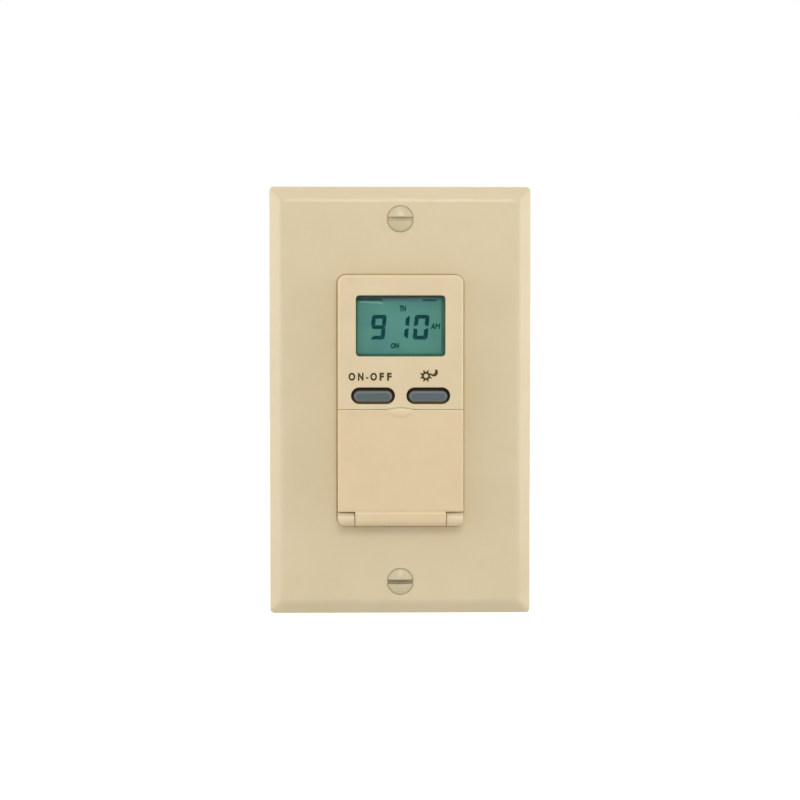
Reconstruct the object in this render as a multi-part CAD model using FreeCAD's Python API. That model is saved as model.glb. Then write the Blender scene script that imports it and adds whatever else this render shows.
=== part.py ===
import FreeCAD, Part
import math
import os
from FreeCAD import Vector

# Astronomical timer switch for a single-gang wall box, in millimetres.
# +Z is up, +Y goes into the wall and -Y faces the room. The origin is on the wall plane,
# midway between the two box screws, which is the centre of the cover plate.

# Cover plate
plate_width = 69.85
plate_end_margin = 8.73
plate_depth = 5.6
plate_wall = 1.9
plate_rim = 1.8
plate_corner = 1.2
bevel_width = 3.4
bevel_depth = 2.4
bevel_soften = 2.6
opening_gap = 0.3
collar_width = 1.5
collar_clearance = 0.2
plate_boss_radius = 3.1
plate_rib = 1.1
plate_rib_back = -2.4
plate_rib_root = 1.0
plate_rib_x = 13.0
plate_rib_z = 20.0

# Slotted oval-head screws that hold the plate
plate_screw_spacing = 96.84
plate_screw_radius = 1.7
plate_screw_head_radius = 3.5
plate_screw_head_cone = 1.8
plate_screw_dome = 0.9
plate_screw_reach = 7.0
screw_slot_width = 1.1
screw_slot_depth = 1.25
screw_point = 0.6
countersink_clearance = 0.15
plate_hole_clearance = 0.25
thread_clearance = 0.1
self_tap_clearance = 0.03
blind_hole_extra = 0.4
screw_edge_chamfer = 0.4

# Steel mounting strap
strap_thickness = 1.6
strap_side_margin = 0.1
strap_end_margin = 2.0
strap_corner = 4.0
strap_screw_margin = 4.58
strap_stem_width = 19.0
ear_width = 30.0
ear_height = 8.0
ear_neck = 2.2
strap_window_side = 0.9
strap_window_end = 1.8
strap_window_corner = 2.0
box_screw_spacing = 83.34
box_slot_length = 7.2
box_slot_width = 3.9
ground_tab_width = 8.0
ground_tab_depth = 9.5
ground_tab_gap = 1.2
ground_tab_foot = 5.6
ground_screw_offset = 0.6

# Box screws, captive in fibre washers behind the strap
box_screw_radius = 1.75
box_screw_neck_radius = 1.4
box_screw_head_radius = 3.4
box_screw_head_height = 1.7
box_screw_reach = 24.0
box_screw_point = 1.6
box_screw_slot_depth = 0.9
box_screw_edge = 0.6
neck_reach = 0.45
washer_width = 9.0
washer_height = 7.0
washer_thickness = 0.4
washer_clearance = 0.15
washer_corner = 1.0

# Ground screw
ground_screw_radius = 1.9
ground_screw_head_radius = 3.6
ground_screw_head_height = 1.7
ground_screw_reach = 4.0
ground_screw_wire_gap = 1.0

# Bezel: the front case that shows in the plate's opening
bezel_width = 33.2
bezel_height = 66.6
bezel_corner = 2.1
bezel_reveal = 5.4
bezel_edge_round = 0.7
bezel_wall = 1.5
front_wall = 1.6
partition_wall = 1.0
rim_round = 0.25
boss_root = 0.5
bezel_boss_radius = 2.1
case_screw_side_inset = 3.15
case_screw_end_inset = 1.8
post_radius = 1.3
post_side_inset = 2.45
post_end_inset = 2.4
post_frame_gap = 0.55

# Display
window_side = 4.75
window_height = 16.1
window_corner = 1.0
window_top = 5.4
lens_border = 1.4
lens_thickness = 1.0
glass_border = 1.1
glass_thickness = 1.0
glass_step = 1.9
reflector_thickness = 0.2
stack_gap = 0.1
strip_thickness = 1.4
strip_border = 0.9
lcd_frame_wall = 1.0
lcd_frame_corner = 1.2
lcd_frame_lip = 2.2
lcd_frame_bar = 3.4
boss_clearance = 0.3

# Door over the setting keys, hinged along the bottom edge
door_line_z = -2.1
door_gap = 0.1
door_thickness = 2.2
door_skin = 1.2
door_rim = 1.5
door_seat_gap = 0.2
door_edge_round = 0.35
door_corner = 0.5
door_pocket_corner = 1.0
door_web = 1.0
hinge_radius = 1.9
hinge_end_gap = 0.3
hinge_ear_width = 4.3
hinge_back_gap = 0.15
hinge_bottom_margin = 0.05
hinge_groove_radius = 1.5
hinge_groove_depth = 0.12
pin_radius = 0.9
pin_length = 2.6
pin_clearance = 0.06
pin_end_clearance = 0.3
pin_end_chamfer = 0.3
thumb_radius = 14.0
thumb_rise = 0.4
lip_half_width = 3.4
lip_half_height = 1.45
lip_height = 0.35
lip_drop = 0.85
lip_root = 0.4
latch_width = 4.8
latch_thickness = 0.7
latch_reach = 1.7
latch_drop = 0.35
latch_clearance = 0.35

# Well behind the door
well_side = 2.65
well_depth = 1.2
well_border = 2.6
well_corner = 1.5
well_floor = 1.4

# Keys: a cap, a flange behind the wall and a stem down to the switch
front_key_side = 4.15
front_key_middle = 2.15
front_key_z = 1.4
front_key_height = 3.1
front_key_round = 0.6
front_key_sunk = 0.15
front_key_gap = 0.65
front_flange_extra = 0.7
front_flange_rise = 0.1
front_key_travel = 0.8
setting_key_side = 5.4
setting_key_middle = 2.6
setting_key_top_gap = 2.8
setting_key_bottom_gap = 2.35
setting_key_rows = 3
setting_key_height = 3.4
setting_key_chamfer = 0.45
setting_key_proud = 0.8
setting_key_gap = 0.25
setting_flange_extra = 0.6
setting_flange_rise = 0.3
setting_key_travel = 0.6
flange_thickness = 0.5
flange_clearance = 0.1
stem_radius = 1.5
key_root = 0.1

# Switches on the logic board
front_switch_size = 6.0
front_switch_height = 2.2
front_plunger_rise = 1.0
setting_switch_size = 4.6
setting_switch_height = 1.1
setting_plunger_rise = 0.7
plunger_radius = 1.2
plunger_sunk = 0.15
plunger_clearance = 0.15
plunger_room = 0.1
switch_corner = 0.4

# Boards
board_thickness = 1.6
insulator_thickness = 0.2
logic_board_gap = 0.45
power_board_side_gap = 0.4
power_board_end_gap = 0.5
board_corner = 1.0

# Rear housing
housing_width = 42.4
housing_end_margin = 1.0
housing_depth = 32.0
housing_draft = 0.5
housing_corner = 3.0
housing_back_chamfer = 1.0
housing_wall = 2.0
tube_radius = 3.2
board_post_radius = 2.2
board_post_height = 4.4
board_post_side_inset = 2.9
board_post_end_inset = 3.5
post_root = 0.5

# Case screws through housing and strap into the bezel's bosses
case_screw_radius = 1.1
case_screw_head_radius = 2.1
case_screw_head_height = 1.5
case_screw_sunk = 1.8
case_screw_clearance = 0.3
case_screw_engagement = 4.4
board_screw_radius = 0.9
board_screw_head_radius = 1.9
board_screw_head_height = 1.0
board_screw_reach = 3.0
board_screw_clearance = 0.2
board_screw_slot = 0.6
case_screw_cross = 3.0
case_screw_cross_depth = 0.9

# Wire terminals in the sides of the housing
terminal_z = 13.0
bay_front = 9.0
bay_length = 10.6
bay_height = 10.0
bay_depth = 5.5
bay_wall = 1.5
terminal_plate_thickness = 1.0
terminal_plate_margin = 0.6
tail_width = 3.0
tail_clearance = 0.2
terminal_screw_radius = 1.9
terminal_screw_head_radius = 3.6
terminal_screw_head_height = 1.7
terminal_screw_wire_gap = 2.2
terminal_screw_reach = 3.0
terminal_hole_clearance = 0.3

# Relay on the power board
relay_end_gap = 2.0
relay_width = 15.4
relay_length = 19.2
relay_height = 15.6
relay_base_height = 2.0
relay_cover_wall = 1.0
relay_corner = 0.6
relay_edge_round = 0.5
yoke_thickness = 1.2
yoke_width = 9.0
yoke_offset = 8.0
yoke_gap_below_cover = 2.1
coil_offset = 1.5
core_radius = 2.0
core_gap = 0.6
core_proud = 0.2
bobbin_radius = 4.9
winding_radius = 4.4
bobbin_flange = 0.7
coil_clearance = 0.05
armature_length = 12.0
armature_gap = 0.03
contact_arm_thickness = 0.3
contact_arm_width = 4.0
contact_offset = 6.3
contact_radius = 1.4
contact_height = 0.8
contact_reach = 1.8
contact_shelf_margin = 0.4
contact_arm_setback = 1.0
contact_travel = 1.0
contact_post_thickness = 0.8

# Other parts on the boards
film_cap_width = 17.5
film_cap_thickness = 8.0
film_cap_height = 13.0
component_gap = 1.2
storage_cap_radius = 5.0
storage_cap_height = 14.0
storage_cap_x = -7.2
varistor_radius = 4.8
varistor_thickness = 4.0
varistor_x = 7.5
varistor_lead = 1.2
varistor_chamfer = 1.0
lead_radius = 0.4
lead_spacing = 5.0
chip_side = 9.0
chip_height = 1.4
chip_corner = 0.3
chip_legs = 8
chip_leg_pitch = 1.0
chip_leg_width = 0.4
chip_leg_height = 0.3
chip_leg_reach = 0.9
chip_place = (0.0, -10.0)
crystal_radius = 1.5
crystal_length = 7.5
crystal_place = (-9.5, -10.0)
cell_radius = 10.0
cell_height = 3.2
cell_z = 12.0
clip_thickness = 0.4
clip_width = 5.0
clip_foot = 1.6
clip_gap = 0.3
cell_pad_radius = 7.0
small_chamfer = 0.5
header_pins = 6
header_pitch = 2.54
header_width = 2.5
header_block = 2.5
socket_height = 8.5
header_inset = 2.9
pin_side = 0.64
pin_fit = 0.12
pin_insert = 4.5
pin_tail = 1.0
pin_end_gap = 0.5

# Levels along Y that follow from the sizes above
past = 1.0
strap_front = -strap_thickness
insulator_front = strap_front - insulator_thickness
board_front = insulator_front - board_thickness
plate_front = -plate_depth
plate_inside = plate_front + plate_wall
bezel_back = strap_front
bezel_front = plate_front - bezel_reveal
front_wall_back = bezel_front + front_wall
lens_back = front_wall_back + lens_thickness
front_glass_front = lens_back + stack_gap
rear_glass_front = front_glass_front + glass_thickness
reflector_front = rear_glass_front + glass_thickness
shelf_front = reflector_front + reflector_thickness
door_back = bezel_front + door_thickness
ledge = door_back + door_seat_gap
well_face = ledge + well_depth
well_back = well_face + well_floor
housing_inside = housing_depth - housing_wall
power_board_back = housing_inside - board_post_height
power_board_front = power_board_back - board_thickness
header_mouth = insulator_front + socket_height
relay_front = power_board_front - relay_height
relay_base_front = power_board_front - relay_base_height
yoke_top = relay_front + relay_cover_wall + yoke_gap_below_cover
yoke_foot_front = relay_base_front - yoke_thickness
armature_back = yoke_top - armature_gap
armature_front = armature_back - yoke_thickness
contact_face = armature_front + contact_reach
front_plunger_top = board_front - front_switch_height - front_plunger_rise
setting_plunger_top = board_front - setting_switch_height - setting_plunger_rise
ground_screw_y = ground_tab_depth / 2 + ground_screw_offset
terminal_screw_y = bay_front + bay_length / 2
bay_end = bay_front + bay_length

# Widths, heights and lines across the front that follow from the sizes above
half_width = bezel_width / 2
half_height = bezel_height / 2
plate_height = plate_screw_spacing + 2 * plate_end_margin
plate_half_width = plate_width / 2
plate_half_height = plate_height / 2
opening_width = bezel_width + 2 * opening_gap
opening_height = bezel_height + 2 * opening_gap
case_screw_x = half_width - case_screw_side_inset
case_screw_z = half_height - case_screw_end_inset
housing_height = bezel_height + 2 * housing_end_margin
strap_width = housing_width + 2 * strap_side_margin
strap_body_height = housing_height + 2 * strap_end_margin
strap_length = plate_screw_spacing + 2 * strap_screw_margin
door_top = door_line_z - door_gap
hinge_y = bezel_front + hinge_radius
hinge_z = -half_height + hinge_radius + hinge_bottom_margin
ear_top = hinge_z + hinge_radius
door_foot = ear_top + hinge_back_gap
ear_inner_x = half_width - hinge_ear_width
ground_screw_z = -strap_body_height / 2 - ground_tab_gap - ground_tab_width / 2
window_width = bezel_width - 2 * window_side
window_z = half_height - window_top - window_height / 2
glass_width = window_width + 2 * glass_border
glass_height = window_height + 2 * glass_border
lcd_frame_width = glass_width + 2 * (stack_gap + lcd_frame_wall)
lcd_frame_height = glass_height + 2 * (stack_gap + lcd_frame_wall)
short_glass_height = glass_height - 2 * glass_step
strip_centre = (glass_height - glass_step) / 2
bay_floor_x = housing_width / 2 - bay_depth
logic_board_width = bezel_width - 2 * (bezel_wall + logic_board_gap)
logic_board_height = 2 * (case_screw_z - bezel_boss_radius - boss_clearance)
strap_window_width = logic_board_width - 2 * strap_window_side
strap_window_height = logic_board_height - 2 * strap_window_end
power_board_width = housing_width - 2 * (housing_draft + housing_wall + power_board_side_gap)
power_board_height = 2 * (case_screw_z - tube_radius - power_board_end_gap)
board_post_x = power_board_width / 2 - board_post_side_inset
board_post_z = power_board_height / 2 - board_post_end_inset
post_x = half_width - post_side_inset
upper_post_z = window_z - lcd_frame_height / 2 - post_frame_gap - post_radius
lower_post_z = post_end_inset - logic_board_height / 2
header_z = header_inset - power_board_height / 2
relay_z = power_board_height / 2 - relay_end_gap - relay_length / 2
film_cap_top = relay_z - relay_length / 2 - component_gap
small_parts_top = film_cap_top - film_cap_thickness - component_gap
yoke_z = relay_z - yoke_offset
coil_z = relay_z - coil_offset
contact_z = relay_z + contact_offset
barrel_half = ear_inner_x - hinge_end_gap
trough_face = hinge_y + hinge_radius + hinge_back_gap
partition_top = door_line_z + partition_wall
latch_top = door_top - latch_drop
well_top = door_line_z - well_border
well_bottom = door_foot + well_border
thumb_centre_z = door_top + thumb_rise - thumb_radius
well_width = bezel_width - 2 * well_side
front_key_length = half_width - front_key_side - front_key_middle
front_key_x = front_key_middle + front_key_length / 2
setting_key_length = half_width - setting_key_side - setting_key_middle
setting_key_x = setting_key_middle + setting_key_length / 2
setting_columns = (-setting_key_x, setting_key_x)
top_row = well_top - setting_key_top_gap - setting_key_height / 2
bottom_row = well_bottom + setting_key_bottom_gap + setting_key_height / 2
row_pitch = (top_row - bottom_row) / (setting_key_rows - 1)
setting_rows = [top_row - row * row_pitch for row in range(setting_key_rows)]
both = (-1, 1)


def block(x0, x1, y0, y1, z0, z1):
    return Part.makeBox(x1 - x0, y1 - y0, z1 - z0, Vector(x0, y0, z0))


def rod_x(radius, x0, x1, y, z):
    return Part.makeCylinder(radius, x1 - x0, Vector(x0, y, z), Vector(1, 0, 0))


def rod_y(radius, y0, y1, x=0.0, z=0.0):
    return Part.makeCylinder(radius, y1 - y0, Vector(x, y0, z), Vector(0, 1, 0))


def rounded_wire(width, height, radius, y, x=0.0, z=0.0):
    # a rectangle in the XZ plane with round corners, walked anticlockwise from the right side
    centres = [
        (x + width / 2 - radius, z + height / 2 - radius, 0),
        (x - width / 2 + radius, z + height / 2 - radius, 90),
        (x - width / 2 + radius, z - height / 2 + radius, 180),
        (x + width / 2 - radius, z - height / 2 + radius, 270),
    ]

    def rim(cx, cz, degrees):
        turn = math.radians(degrees)
        return Vector(cx + radius * math.cos(turn), y, cz + radius * math.sin(turn))

    edges = []
    for i, (cx, cz, start) in enumerate(centres):
        arc = Part.Arc(rim(cx, cz, start), rim(cx, cz, start + 45), rim(cx, cz, start + 90))
        edges.append(arc.toShape())
        nx, nz, next_start = centres[(i + 1) % 4]
        here, there = rim(cx, cz, start + 90), rim(nx, nz, next_start)
        if here.distanceToPoint(there) > 1e-6:
            edges.append(Part.LineSegment(here, there).toShape())
    return Part.Wire(edges)


def rounded_slab(width, height, radius, y0, y1, x=0.0, z=0.0):
    face = Part.Face(rounded_wire(width, height, radius, y0, x, z))
    return face.extrude(Vector(0, y1 - y0, 0))


def stadium(length, height, y0, y1, x=0.0, z=0.0):
    return rounded_slab(length, height, height / 2, y0, y1, x, z)


def edges_on(shape, axis, level):
    # the edges that lie wholly at one level of the X or Y axis
    def at_level(edge):
        low = getattr(edge.BoundBox, axis + "Min")
        high = getattr(edge.BoundBox, axis + "Max")
        return abs(low - level) < 1e-6 and abs(high - level) < 1e-6

    return [edge for edge in shape.Edges if at_level(edge)]


def edges_at(shape, y):
    return edges_on(shape, "Y", y)


def circles_of(shape):
    return [edge for edge in shape.Edges if edge.Curve.TypeId == "Part::GeomCircle"]


def side_span(side, near, far):
    # the ordered pair of coordinates on the side of the middle that side gives
    return sorted((side * near, side * far))


def revolve_y(points, x=0.0, z=0.0):
    # points are (radius, y) pairs of a closed outline that starts and ends on the axis
    corners = [Vector(r, y, 0) for r, y in points]
    face = Part.Face(Part.makePolygon(corners + corners[:1]))
    solid = face.revolve(Vector(0, 0, 0), Vector(0, 1, 0), 360)
    solid.translate(Vector(x, 0, z))
    return solid


def group(solids):
    return Part.makeCompound(solids)


def slot_across(radius, front, floor, width):
    # the cutter of a straight screwdriver slot in a head that faces the room
    return block(-radius - past, radius + past, front - past, floor, -width / 2, width / 2)


def at_heights(solid, spacing):
    # one copy above the middle and one below, spacing apart
    copies = []
    for side in both:
        copy = solid.copy()
        copy.translate(Vector(0, 0, side * spacing / 2))
        copies.append(copy)
    return group(copies)


def case_screw_places():
    return [(sx * case_screw_x, sz * case_screw_z) for sx in both for sz in both]


def make_wall_plate():
    bevel_back = plate_front + bevel_depth
    face_width = plate_width - 2 * bevel_width
    face_height = plate_height - 2 * bevel_width
    skirt = rounded_slab(plate_width, plate_height, plate_corner, bevel_back, 0)
    rim_wire = rounded_wire(plate_width, plate_height, plate_corner, bevel_back)
    face_wire = rounded_wire(face_width, face_height, plate_corner, plate_front)
    outer = skirt.fuse(Part.makeLoft([rim_wire, face_wire], True, True)).removeSplitter()
    outer = outer.makeFillet(bevel_soften, edges_at(outer, plate_front))
    collar_back = strap_front - collar_clearance
    collar_front = plate_inside - plate_wall / 2
    collar_corner = bezel_corner + opening_gap
    collar = rounded_slab(
        opening_width + 2 * collar_width,
        opening_height + 2 * collar_width,
        collar_corner + collar_width,
        collar_front,
        collar_back,
    )
    bosses = at_heights(rod_y(plate_boss_radius, collar_front, collar_back), plate_screw_spacing)
    ribs = [rib.common(outer) for rib in make_plate_ribs()]
    plate = outer.cut(plate_hollow()).fuse([collar, bosses] + ribs)
    opening = rounded_slab(opening_width, opening_height, collar_corner, plate_front - past, past)
    wide = plate_screw_head_radius + countersink_clearance
    narrow = plate_screw_radius + plate_hole_clearance
    start = Vector(0, plate_front, 0)
    countersink = Part.makeCone(wide, narrow, plate_screw_head_cone, start, Vector(0, 1, 0))
    countersink = countersink.fuse(rod_y(narrow, plate_front, past))
    plate = plate.cut([opening, at_heights(countersink, plate_screw_spacing)])
    return plate.removeSplitter()


def plate_hollow():
    # the inside follows the bevel, so that the wall stays even
    slope = bevel_width / bevel_depth
    knee = plate_front + bevel_depth + plate_wall - plate_rim / slope
    width = plate_width - 2 * plate_rim
    height = plate_height - 2 * plate_rim
    taper = 2 * slope * (knee - plate_inside)
    knee_wire = rounded_wire(width, height, plate_corner, knee)
    roof_wire = rounded_wire(width - taper, height - taper, plate_corner, plate_inside)
    roof = Part.makeLoft([knee_wire, roof_wire], True, True)
    return rounded_slab(width, height, plate_corner, knee, past).fuse(roof)


def make_plate_ribs():
    ribs = []
    front = plate_inside - plate_wall / 2
    for side in both:
        x0, x1 = side_span(side, opening_width / 2 + plate_rib_root, plate_half_width - plate_rib_root)
        z0, z1 = side_span(side, opening_height / 2 + plate_rib_root, plate_half_height - plate_rib_root)
        for place in both:
            z = place * plate_rib_z
            ribs.append(block(x0, x1, front, plate_rib_back, z - plate_rib / 2, z + plate_rib / 2))
            x = place * plate_rib_x
            ribs.append(block(x - plate_rib / 2, x + plate_rib / 2, front, plate_rib_back, z0, z1))
    return ribs


def make_plate_screws():
    # an oval head: a low dome over a cone that sits in the countersink
    cone_back = plate_front + plate_screw_head_cone
    top = Vector(0, plate_front - plate_screw_dome, 0)
    rim = Vector(plate_screw_head_radius, plate_front, 0)
    half_turn = math.atan2(plate_screw_dome, plate_screw_head_radius)
    dome_radius = plate_screw_head_radius / math.sin(2 * half_turn)
    middle_y = top.y + dome_radius * (1 - math.cos(half_turn))
    middle = Vector(dome_radius * math.sin(half_turn), middle_y, 0)
    corners = [
        rim,
        Vector(plate_screw_radius, cone_back, 0),
        Vector(plate_screw_radius, plate_screw_reach - screw_point, 0),
        Vector(plate_screw_radius - screw_point, plate_screw_reach, 0),
        Vector(0, plate_screw_reach, 0),
        top,
    ]
    edges = [Part.Arc(top, middle, rim).toShape()]
    for here, there in zip(corners[:-1], corners[1:]):
        edges.append(Part.LineSegment(here, there).toShape())
    screw = Part.Face(Part.Wire(edges)).revolve(Vector(0, 0, 0), Vector(0, 1, 0), 360)
    floor = top.y + screw_slot_depth
    screw = screw.cut(slot_across(plate_screw_head_radius, top.y, floor, screw_slot_width))
    return at_heights(screw, plate_screw_spacing)


def strap_hole(radius, x=0.0, z=0.0):
    return rod_y(radius, strap_front - past, past, x, z)


def strap_ear():
    # the notches let an electrician snap off the plaster ears
    ear = stadium(ear_width, ear_height, strap_front, 0)
    notch_x = (strap_stem_width + ear_neck) / 2
    notch_z = ear_height / 2
    notches = [strap_hole(ear_neck / 2, sx * notch_x, sz * notch_z) for sx in both for sz in both]
    return ear.cut(notches)


def make_mounting_strap():
    body = rounded_slab(strap_width, strap_body_height, strap_corner, strap_front, 0)
    half_stem = strap_stem_width / 2
    stem_end = (strap_length - ear_height) / 2
    stem = block(-half_stem, half_stem, strap_front, 0, -stem_end, stem_end)
    ears = at_heights(strap_ear(), strap_length - ear_height)
    # the ground tab is bent back from a foot at the lower left
    left = -strap_width / 2
    tab_right = left + strap_thickness
    tab_top = -strap_body_height / 2 - ground_tab_gap
    tab_bottom = tab_top - ground_tab_width
    foot_top = -strap_body_height / 2 + strap_corner
    foot = block(left, left + ground_tab_foot, strap_front, 0, tab_bottom, foot_top)
    tab = block(left, tab_right, strap_front, ground_tab_depth, tab_bottom, tab_top)
    strap = body.fuse([stem, ears, foot, tab]).removeSplitter()
    window = rounded_slab(
        strap_window_width, strap_window_height, strap_window_corner, strap_front - past, past
    )
    slot = stadium(box_slot_length, box_slot_width, strap_front - past, past)
    thread = strap_hole(plate_screw_radius + thread_clearance)
    tab_hole = rod_x(
        ground_screw_radius + thread_clearance,
        left - past,
        tab_right + past,
        ground_screw_y,
        ground_screw_z,
    )
    cuts = [window, tab_hole, at_heights(slot, box_screw_spacing)]
    cuts.append(at_heights(thread, plate_screw_spacing))
    for x, z in case_screw_places():
        cuts.append(strap_hole(case_screw_radius + case_screw_clearance, x, z))
    return strap.cut(cuts).removeSplitter()


def make_box_screws():
    # the neck turns freely in the strap's slot and the thread behind it holds the washer
    head_front = strap_front - box_screw_head_height
    screw = revolve_y(
        [
            (0, head_front),
            (box_screw_head_radius - box_screw_edge, head_front),
            (box_screw_head_radius, head_front + box_screw_edge),
            (box_screw_head_radius, strap_front),
            (box_screw_neck_radius, strap_front),
            (box_screw_neck_radius, neck_reach),
            (box_screw_radius, neck_reach),
            (box_screw_radius, box_screw_reach - box_screw_point),
            (box_screw_radius - screw_point, box_screw_reach),
            (0, box_screw_reach),
        ]
    )
    floor = head_front + box_screw_slot_depth
    screw = screw.cut(slot_across(box_screw_head_radius, head_front, floor, screw_slot_width))
    return at_heights(screw, box_screw_spacing)


def make_screw_washers():
    washer = rounded_slab(washer_width, washer_height, washer_corner, 0, washer_thickness)
    washer = washer.cut(rod_y(box_screw_neck_radius + washer_clearance, -past, past))
    return at_heights(washer, box_screw_spacing)


def make_side_screw(radius, head_radius, head_height, seat_x, wire_gap, tip_x, side):
    # a binding screw along X: side is +1 where its head points to +X
    head_inner = seat_x + side * wire_gap
    head_outer = head_inner + side * head_height
    head = rod_x(head_radius, *sorted((head_inner, head_outer)), 0, 0)
    head = head.makeChamfer(screw_edge_chamfer, edges_on(head, "X", head_outer))
    shank = rod_x(radius, *sorted((tip_x, head_inner)), 0, 0)
    slot_floor = head_outer - side * head_height / 2
    slot_x = sorted((slot_floor, head_outer + side * past))
    half = screw_slot_width / 2
    slot = block(*slot_x, -half, half, -head_radius - past, head_radius + past)
    return head.fuse(shank).cut(slot).removeSplitter()


def make_ground_screw():
    seat = -strap_width / 2
    tip = seat + strap_thickness + ground_screw_reach
    screw = make_side_screw(
        ground_screw_radius,
        ground_screw_head_radius,
        ground_screw_head_height,
        seat,
        ground_screw_wire_gap,
        tip,
        -1,
    )
    screw.translate(Vector(0, ground_screw_y, ground_screw_z))
    return screw


def make_bezel():
    outer = rounded_slab(bezel_width, bezel_height, bezel_corner, bezel_front, bezel_back)
    case = outer.makeFillet(bezel_edge_round, edges_at(outer, bezel_front)).cut(front_openings())
    case = case.makeFillet(rim_round, opening_rims(case))
    below = -half_height - past
    beyond = half_width + past
    door_room = block(-beyond, beyond, bezel_front - past, ledge, below, door_line_z)
    thumb_room = rod_y(thumb_radius + door_gap, bezel_front - past, ledge, 0, thumb_centre_z)
    case = case.cut([door_room, thumb_room])
    case = case.fuse([ear.common(outer) for ear in hinge_ears()])
    trough = block(-ear_inner_x, ear_inner_x, bezel_front - past, trough_face, below, door_foot)
    case = case.cut([trough] + bezel_hollows())
    bosses = []
    for x, z in case_screw_places():
        start = front_wall_back - boss_root if z > 0 else trough_face + boss_root
        bosses.append(rod_y(bezel_boss_radius, start, bezel_back, x, z).common(outer))
    for side in both:
        x = side * post_x
        bosses.append(rod_y(post_radius, front_wall_back - boss_root, board_front, x, upper_post_z))
        bosses.append(rod_y(post_radius, well_back - boss_root, board_front, x, lower_post_z))
    case = case.fuse(bosses)
    return case.cut(rear_openings()).removeSplitter()


def front_openings():
    front = bezel_front - past
    length = front_key_length + 2 * front_key_gap
    height = front_key_height + 2 * front_key_gap
    cuts = [rounded_slab(window_width, window_height, window_corner, front, lens_back, 0, window_z)]
    for side in both:
        cuts.append(stadium(length, height, front, lens_back, side * front_key_x, front_key_z))
    return cuts


def opening_rims(case):
    # the edges of the face that lie inside its outline
    half_x = half_width - bezel_corner
    half_z = half_height - bezel_corner

    def inside(box):
        return box.XMin > -half_x and box.XMax < half_x and box.ZMin > -half_z and box.ZMax < half_z

    return [edge for edge in edges_at(case, bezel_front) if inside(edge.BoundBox)]


def hinge_ears():
    # round in front, so that the door's foot can swing past them
    ears = []
    for side in both:
        x0, x1 = side_span(side, ear_inner_x, half_width)
        ear = rod_x(hinge_radius, x0, x1, hinge_y, hinge_z)
        heel = block(x0, x1, hinge_y, ledge, hinge_z - hinge_radius, ear_top)
        ears.append(ear.fuse(heel))
    return ears


def bezel_hollows():
    # behind the face the case is open to the back, in three depths
    back = bezel_back + past
    width = bezel_width - 2 * bezel_wall
    corner = bezel_corner - bezel_wall
    top = half_height - bezel_wall
    upper_height = top - partition_top
    upper_middle = (top + partition_top) / 2
    upper = rounded_slab(width, upper_height, corner, front_wall_back, back, 0, upper_middle)
    lower = rounded_slab(width, 2 * top, corner, trough_face + well_floor, back)
    behind_well = block(-width / 2, width / 2, well_back, back, well_bottom, partition_top + past)
    return [upper, lower, behind_well]


def rear_openings():
    well_height = well_top - well_bottom
    well_middle = (well_top + well_bottom) / 2
    cuts = [
        rounded_slab(well_width, well_height, well_corner, ledge - past, well_face, 0, well_middle),
    ]
    pin_hole_end = barrel_half + pin_length + pin_end_clearance
    for side in both:
        x0, x1 = side_span(side, barrel_half, pin_hole_end)
        cuts.append(rod_x(pin_radius + pin_clearance, x0, x1, hinge_y, hinge_z))
    length = setting_key_length + 2 * setting_key_gap
    height = setting_key_height + 2 * setting_key_gap
    for x in setting_columns:
        for z in setting_rows:
            cuts.append(stadium(length, height, well_face - past, well_back + past, x, z))
    screw_hole_end = bezel_back - case_screw_engagement - blind_hole_extra
    for x, z in case_screw_places():
        radius = case_screw_radius + self_tap_clearance
        cuts.append(rod_y(radius, screw_hole_end, bezel_back + past, x, z))
    half = latch_width / 2 + latch_clearance
    floor = door_back + latch_reach + door_seat_gap
    low = latch_top - latch_thickness - latch_clearance
    cuts.append(block(-half, half, ledge - past, floor, low, latch_top + latch_clearance))
    return cuts


def make_door():
    height = door_top - door_foot
    middle = (door_top + door_foot) / 2
    panel = rounded_slab(bezel_width, height, door_corner, bezel_front, door_back, 0, middle)
    thumb = rod_y(thumb_radius, bezel_front, door_back, 0, thumb_centre_z)
    above = block(-thumb_radius, thumb_radius, bezel_front, door_back, door_top - past, door_top + past)
    panel = panel.fuse(thumb.common(above)).removeSplitter()
    lip_room = panel.copy()
    lip_room.translate(Vector(0, lip_root - door_thickness, 0))
    panel = panel.makeFillet(door_edge_round, edges_at(panel, bezel_front))
    web = block(-barrel_half, barrel_half, bezel_front, door_back, hinge_z, door_foot + door_web)
    pocket = rounded_slab(
        bezel_width - 2 * door_rim,
        height - 2 * door_rim,
        door_pocket_corner,
        bezel_front + door_skin,
        door_back + past,
        0,
        middle,
    )
    knuckle = rod_x(hinge_radius, -barrel_half, barrel_half, hinge_y, hinge_z)
    pin_end = barrel_half + pin_length
    pins = rod_x(pin_radius, -pin_end, pin_end, hinge_y, hinge_z)
    pins = pins.makeChamfer(pin_end_chamfer, circles_of(pins))
    half = latch_width / 2
    latch_root = bezel_front + door_skin
    latch_end = door_back + latch_reach
    latch = block(-half, half, latch_root, latch_end, latch_top - latch_thickness, latch_top)
    door = panel.fuse(web).cut(pocket)
    door = door.fuse([knuckle, pins, latch, make_thumb_lip().common(lip_room)])
    # a shallow groove marks where the panel turns into the hinge bar
    groove_y = bezel_front + hinge_groove_depth - hinge_groove_radius
    groove = rod_x(hinge_groove_radius, -half_width - past, half_width + past, groove_y, door_foot)
    return door.cut(groove).removeSplitter()


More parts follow.
